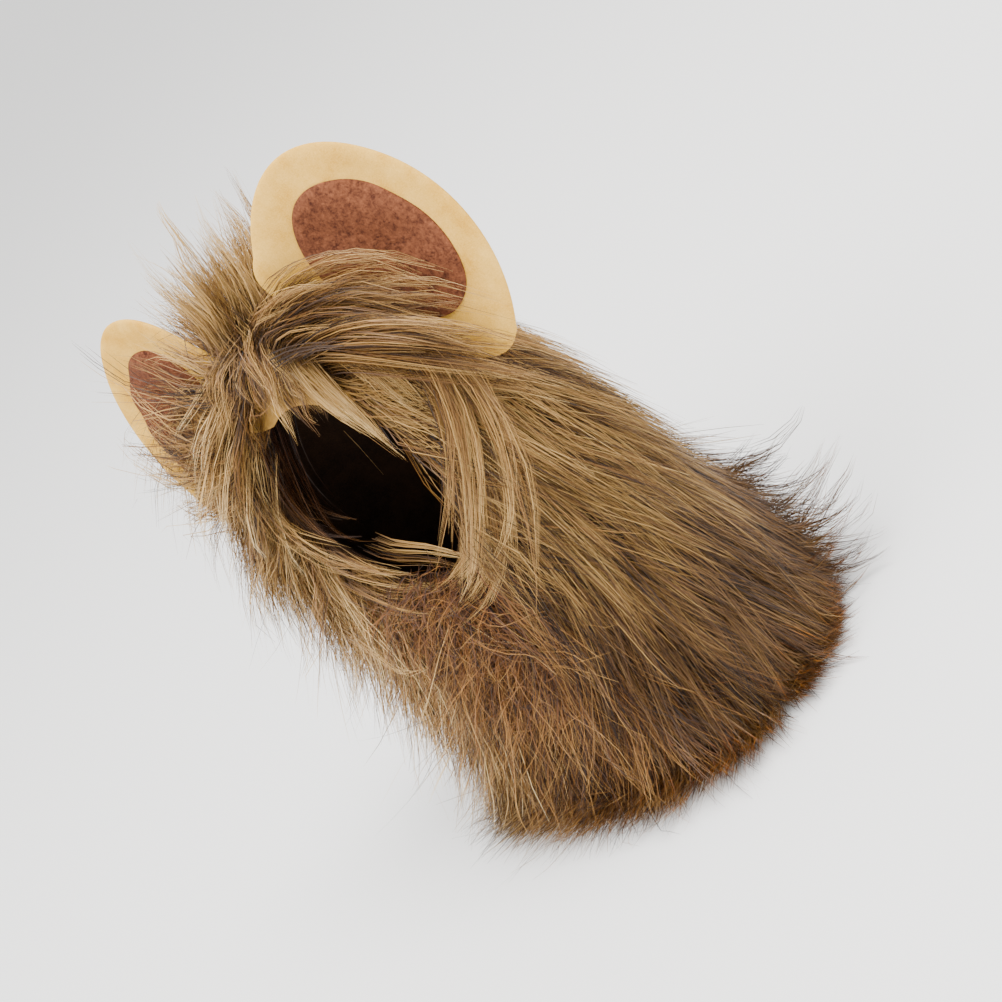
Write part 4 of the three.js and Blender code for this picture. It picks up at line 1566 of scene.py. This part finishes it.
@dataclass
class Ear:
    """One plush ear with its fleece patch, both softly puckered, as sewn and stuffed cloth is.

    The pad's section has a rounded edge over the outer tenth of its outline, and the fleece stands up in
    grains.
    """

    name: str
    hood: Hood
    shape: EarShape
    seed: int
    patch_half_width: float = 28.0
    patch_half_height: float = 22.0
    patch_rise: float = 13.0
    patch_thickness: float = 1.6
    patch_lift: float = 0.2
    patch_sunk: float = -0.4
    pucker_mm: float = 26.0
    pucker_height: float = 0.7
    grain_mm: float = 2.2
    grain_height: float = 0.12
    edge_from: float = 0.9
    edge_span: float = 0.1
    edge_half: float = 0.12
    turns: int = 112
    plush: Cloth = Cloth("ear_plush", "#D0982F", "#EDBE5C", 12.0, 0.45, 0.12, 0.05)
    fleece: Cloth = Cloth("patch_fleece", "#421F12", "#844E32", 2.6, 0.9, 0.8, 0.12)

    def pad(
        self, name: str, outline: Outline, middle: tuple[float, float], face_at: FaceAt
    ) -> bpy.types.Object:
        """A closed pad: rings from the middle of the front out to the edge and back to the middle behind.

        Args:
            name: The object's name.
            outline: Gives across and height on the edge for an array of turns.
            middle: Across and height of the centre.
            face_at: Gives the offset along the front for across, height, share and facing.

        Returns:
            The pad.
        """
        rim = self.edge_from + self.edge_span * np.sin(np.linspace(0.2, 1, 6) * np.pi / 2)
        before = np.concatenate([[0.001], np.linspace(0.06, 0.9, 14), rim])
        shares = np.concatenate([before, before[-2::-1]])
        facing = np.where(np.arange(len(shares)) < len(before), 1.0, -1.0)
        edge_across, edge_height = outline(np.arange(self.turns) * TAU / self.turns)
        across = middle[0] + (edge_across - middle[0]) * shares[:, None]
        height = middle[1] + (edge_height - middle[1]) * shares[:, None]
        off = face_at(across, height, shares[:, None], facing[:, None])
        points = self.shape.place(across, height, off, self.hood).reshape(-1, 3)
        buried = self.hood.outside(points) < 0.0
        points = np.where(buried[:, None], self.hood.settled(points), points)
        faces = grid_faces(len(shares), self.turns, True)
        if self.shape.side > 0:
            faces = faces[:, ::-1]
        return mesh_object(name, self.hood.row_frame(points), faces)

    def pucker(self, across: Array, height: Array) -> Array:
        """How far the sewn cloth rises and falls at a place of the ear's plane."""
        return ripple(across, height, self.pucker_mm, self.seed) * self.pucker_height

    def face_at(self, across: Array, height: Array, share: Array, facing: Array) -> Array:
        """The ear's faces: the dished sheet, puckered inside its edge, plus or minus half its thickness.

        Args:
            across: Places along the base.
            height: Places up the ear.
            share: Shares of the outline, from the middle.
            facing: 1 in front and -1 behind.

        Returns:
            Offsets along the front.
        """
        dish, half, _ = self.shape.sheet(across, height)
        past = (share - self.edge_from) / self.edge_span * (share > self.edge_from)
        edge = np.sqrt(np.clip(1 - past**2, 0, 1))
        pucker = self.pucker(across, height) * (1 - share**4)
        return dish + pucker + facing * half * (self.edge_half + (1 - self.edge_half) * edge)

    def patch_outline(self, turn: Array) -> tuple[Array, Array]:
        """The patch's edge: an oval that slides with the ear."""
        height = self.patch_rise + self.patch_half_height * np.sin(turn)
        return self.patch_half_width * np.cos(turn) + self.shape.slide(height), height

    def patch_at(self, across: Array, height: Array, share: Array, facing: Array) -> Array:
        """The patch's faces: over the ear's own, thinning to its edge, with the fleece's grain in front.

        Args:
            across: Places along the base.
            height: Places up the ear.
            share: Shares of the outline, from the middle.
            facing: 1 in front and -1 behind.

        Returns:
            Offsets along the front.
        """
        dish, half, _ = self.shape.sheet(across, height)
        edge = np.sqrt(np.clip(1 - share**8, 0, 1))
        grain = ripple(across, height, self.grain_mm, self.seed + 5) * self.grain_height * edge
        thick = np.where(facing > 0, self.patch_thickness * edge + self.patch_lift + grain, self.patch_sunk)
        return dish + self.pucker(across, height) + half + thick

    def build(self) -> tuple[bpy.types.Object, bpy.types.Object]:
        """Makes the ear and its patch.

        Returns:
            The ear's pad and the patch.
        """
        ear = self.pad(f"{self.name}_pad", self.shape.outline, (0.0, 0.0), self.face_at)
        ear.data.materials.append(self.plush.material())
        middle = (float(self.shape.slide(np.array(self.patch_rise))), self.patch_rise)
        patch = self.pad(f"{self.name}_fleece", self.patch_outline, middle, self.patch_at)
        patch.data.materials.append(self.fleece.material())
        return ear, patch


@dataclass(frozen=True)
class Studio:
    """A pale floor, soft lights, and the camera at the photo's angle.

    `target` is the place at the picture's middle, in millimetres of the row frame, and `scale` is how many
    millimetres a pixel of the photo spans there. Angles are degrees.
    """

    target: tuple[float, float, float]
    azimuth: float = 46.0
    elevation: float = 22.0
    roll: float = -46.3
    distance: float = 750.0
    scale: float = 0.34
    shift_right: float = 7.1
    frame_width: float = 1002.0
    sensor: float = 36.0
    clip: tuple[float, float] = (0.05, 30.0)
    floor_start: float = 10.0
    floor_rings: int = 12
    floor_turns: int = 96

    def axes(self) -> tuple[Array, Array, Array]:
        """The camera's right, up and back as unit vectors.

        Returns:
            Three unit vectors.
        """
        turn, lift, roll = np.radians([self.azimuth, self.elevation, self.roll])
        right = np.array([np.cos(turn), np.sin(turn), 0.0])
        back = np.array([np.sin(turn) * np.cos(lift), -np.cos(turn) * np.cos(lift), np.sin(lift)])
        up = np.cross(back, right)
        return right * np.cos(roll) + up * np.sin(roll), -right * np.sin(roll) + up * np.cos(roll), back

    def camera(self) -> bpy.types.Object:
        """The camera, rolled as the photo shows the hat.

        Returns:
            The camera.
        """
        right, up, back = self.axes()
        data = bpy.data.cameras.new("camera")
        data.sensor_width = self.sensor
        data.lens = self.sensor * self.distance / (self.scale * self.frame_width)
        data.clip_start, data.clip_end = self.clip
        place = (np.array(self.target) + right * self.shift_right + back * self.distance) * MM
        camera = bpy.data.objects.new("camera", data)
        camera.matrix_world = Matrix([*np.column_stack([right, up, back, place]).tolist(), [0, 0, 0, 1]])
        bpy.context.scene.collection.objects.link(camera)
        bpy.context.scene.camera = camera
        return camera

    def floor(self) -> bpy.types.Object:
        """A flat disc, as rings of points whose radius doubles from 10 mm out to some 20 m.

        Returns:
            The floor.
        """
        radii = self.floor_start * 2.0 ** np.arange(self.floor_rings)
        turn, radius = np.meshgrid(np.arange(self.floor_turns) * TAU / self.floor_turns, radii)
        points = np.stack([radius * np.cos(turn), radius * np.sin(turn), 0 * turn], axis=-1)
        faces = grid_faces(self.floor_rings, self.floor_turns, True)[:, ::-1]
        obj = mesh_object("floor", points.reshape(-1, 3), faces)
        material, tree = new_material("pale_floor")
        close_material(tree, {"Base Color": linear("#F4F3F1"), "Roughness": 0.9, "Specular IOR Level": 0.1})
        obj.data.materials.append(material)
        return obj

    def light(self, name: str, toward: Array, distance: float, size: float, power: float) -> None:
        """A square area light that looks at the target from a direction.

        Args:
            name: The lamp's name.
            toward: The way from the target to the lamp.
            distance: How far off it is, in metres.
            size: Its side, in metres.
            power: Its power, in watts.
        """
        data = bpy.data.lights.new(name, "AREA")
        data.size = size
        data.energy = power
        lamp = bpy.data.objects.new(name, data)
        toward = unit(np.asarray(toward, dtype=float))
        spot = np.array(self.target) * MM + toward * distance
        lamp.location = Vector(spot)
        lamp.rotation_euler = Vector(toward).to_track_quat("Z", "Y").to_euler()
        bpy.context.scene.collection.objects.link(lamp)

    def lights(self) -> None:
        """A large key from the picture's top, a fill from the camera, and a pale sky."""
        right, up, back = self.axes()
        self.light("key", up * 0.9 + back * 0.75 - right * 0.35 + np.array([0, 0, 0.5]), 1.4, 0.7, 34)
        self.light("left", back * 0.6 - right * 0.9 + up * 0.1, 1.6, 0.9, 20)
        self.light("fill", back + right * 0.4 - up * 0.2, 1.8, 1.2, 4)
        world = bpy.data.worlds.new("sky")
        world.use_nodes = True
        world.node_tree.nodes["Background"].inputs["Color"].default_value = linear("#FFFFFF")
        world.node_tree.nodes["Background"].inputs["Strength"].default_value = 1.5
        bpy.context.scene.world = world


def hood_from_frame() -> Hood:
    """The hood's formula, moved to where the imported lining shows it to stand.

    Returns:
        The hood.
    """
    plain = Hood()
    low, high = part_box("lining")
    side = float((low[0] + high[0]) / 2 / MM)
    middle = float((low[1] + high[1]) / 2 / MM - plain.section(np.array(plain.lining_rise))[3])
    return Hood(shift=(side, middle))


def settle_piece(obj: bpy.types.Object, slot: str, *nodes: str) -> None:
    """Attaches a new piece to the root body and hides the solids that it stands for.

    Args:
        obj: The piece.
        slot: The material slot; not used.
        nodes: The solids that it stands for.
    """
    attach(obj, "root")
    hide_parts(*nodes)
    LOG.info("%s stands for %s", obj.name, ", ".join(nodes))


def corners() -> list[list[float]]:
    """The shown object's lowest and highest corner as plain lists."""
    return [[float(value) for value in corner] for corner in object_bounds()]


def main() -> None:
    """Builds the hat piece by piece, then the studio."""
    logging.basicConfig(level=logging.INFO, format="%(name)s %(message)s")
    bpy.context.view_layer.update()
    hood = hood_from_frame()
    near = EarShape(side=1, out=0.82 * hood.half_width, height=0.957 * hood.crown, slope=49)
    far = EarShape(side=-1, out=0.81 * hood.half_width, height=0.884 * hood.crown, slope=50)
    wall, lining, area = Fabric(hood).build()
    settle_piece(wall, "long_pile_fur", "mane")
    settle_piece(lining, "lining_cloth", "lining")
    band, length = BrowBand(hood).build()
    settle_piece(band, "band_cloth", "brow_band")
    for name, shape, seed in (("left", near, 3), ("right", far, 4)):
        pad, patch = Ear(f"ear_{name}", hood, shape, seed).build()
        settle_piece(pad, "plush", f"ear_{name}")
        settle_piece(patch, "fleece", f"ear_patch_{name}")
    for piece in Fur(hood, (near, far)).build():
        settle_piece(piece, "long_pile_fur", "mane")
    picture_middle = np.array([-4.25, 5.02, 102.0])
    studio = Studio(tuple(hood.row_frame(picture_middle)))
    studio.floor()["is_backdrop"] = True
    studio.lights()
    studio.camera()


if __name__ == "__main__":
    main()
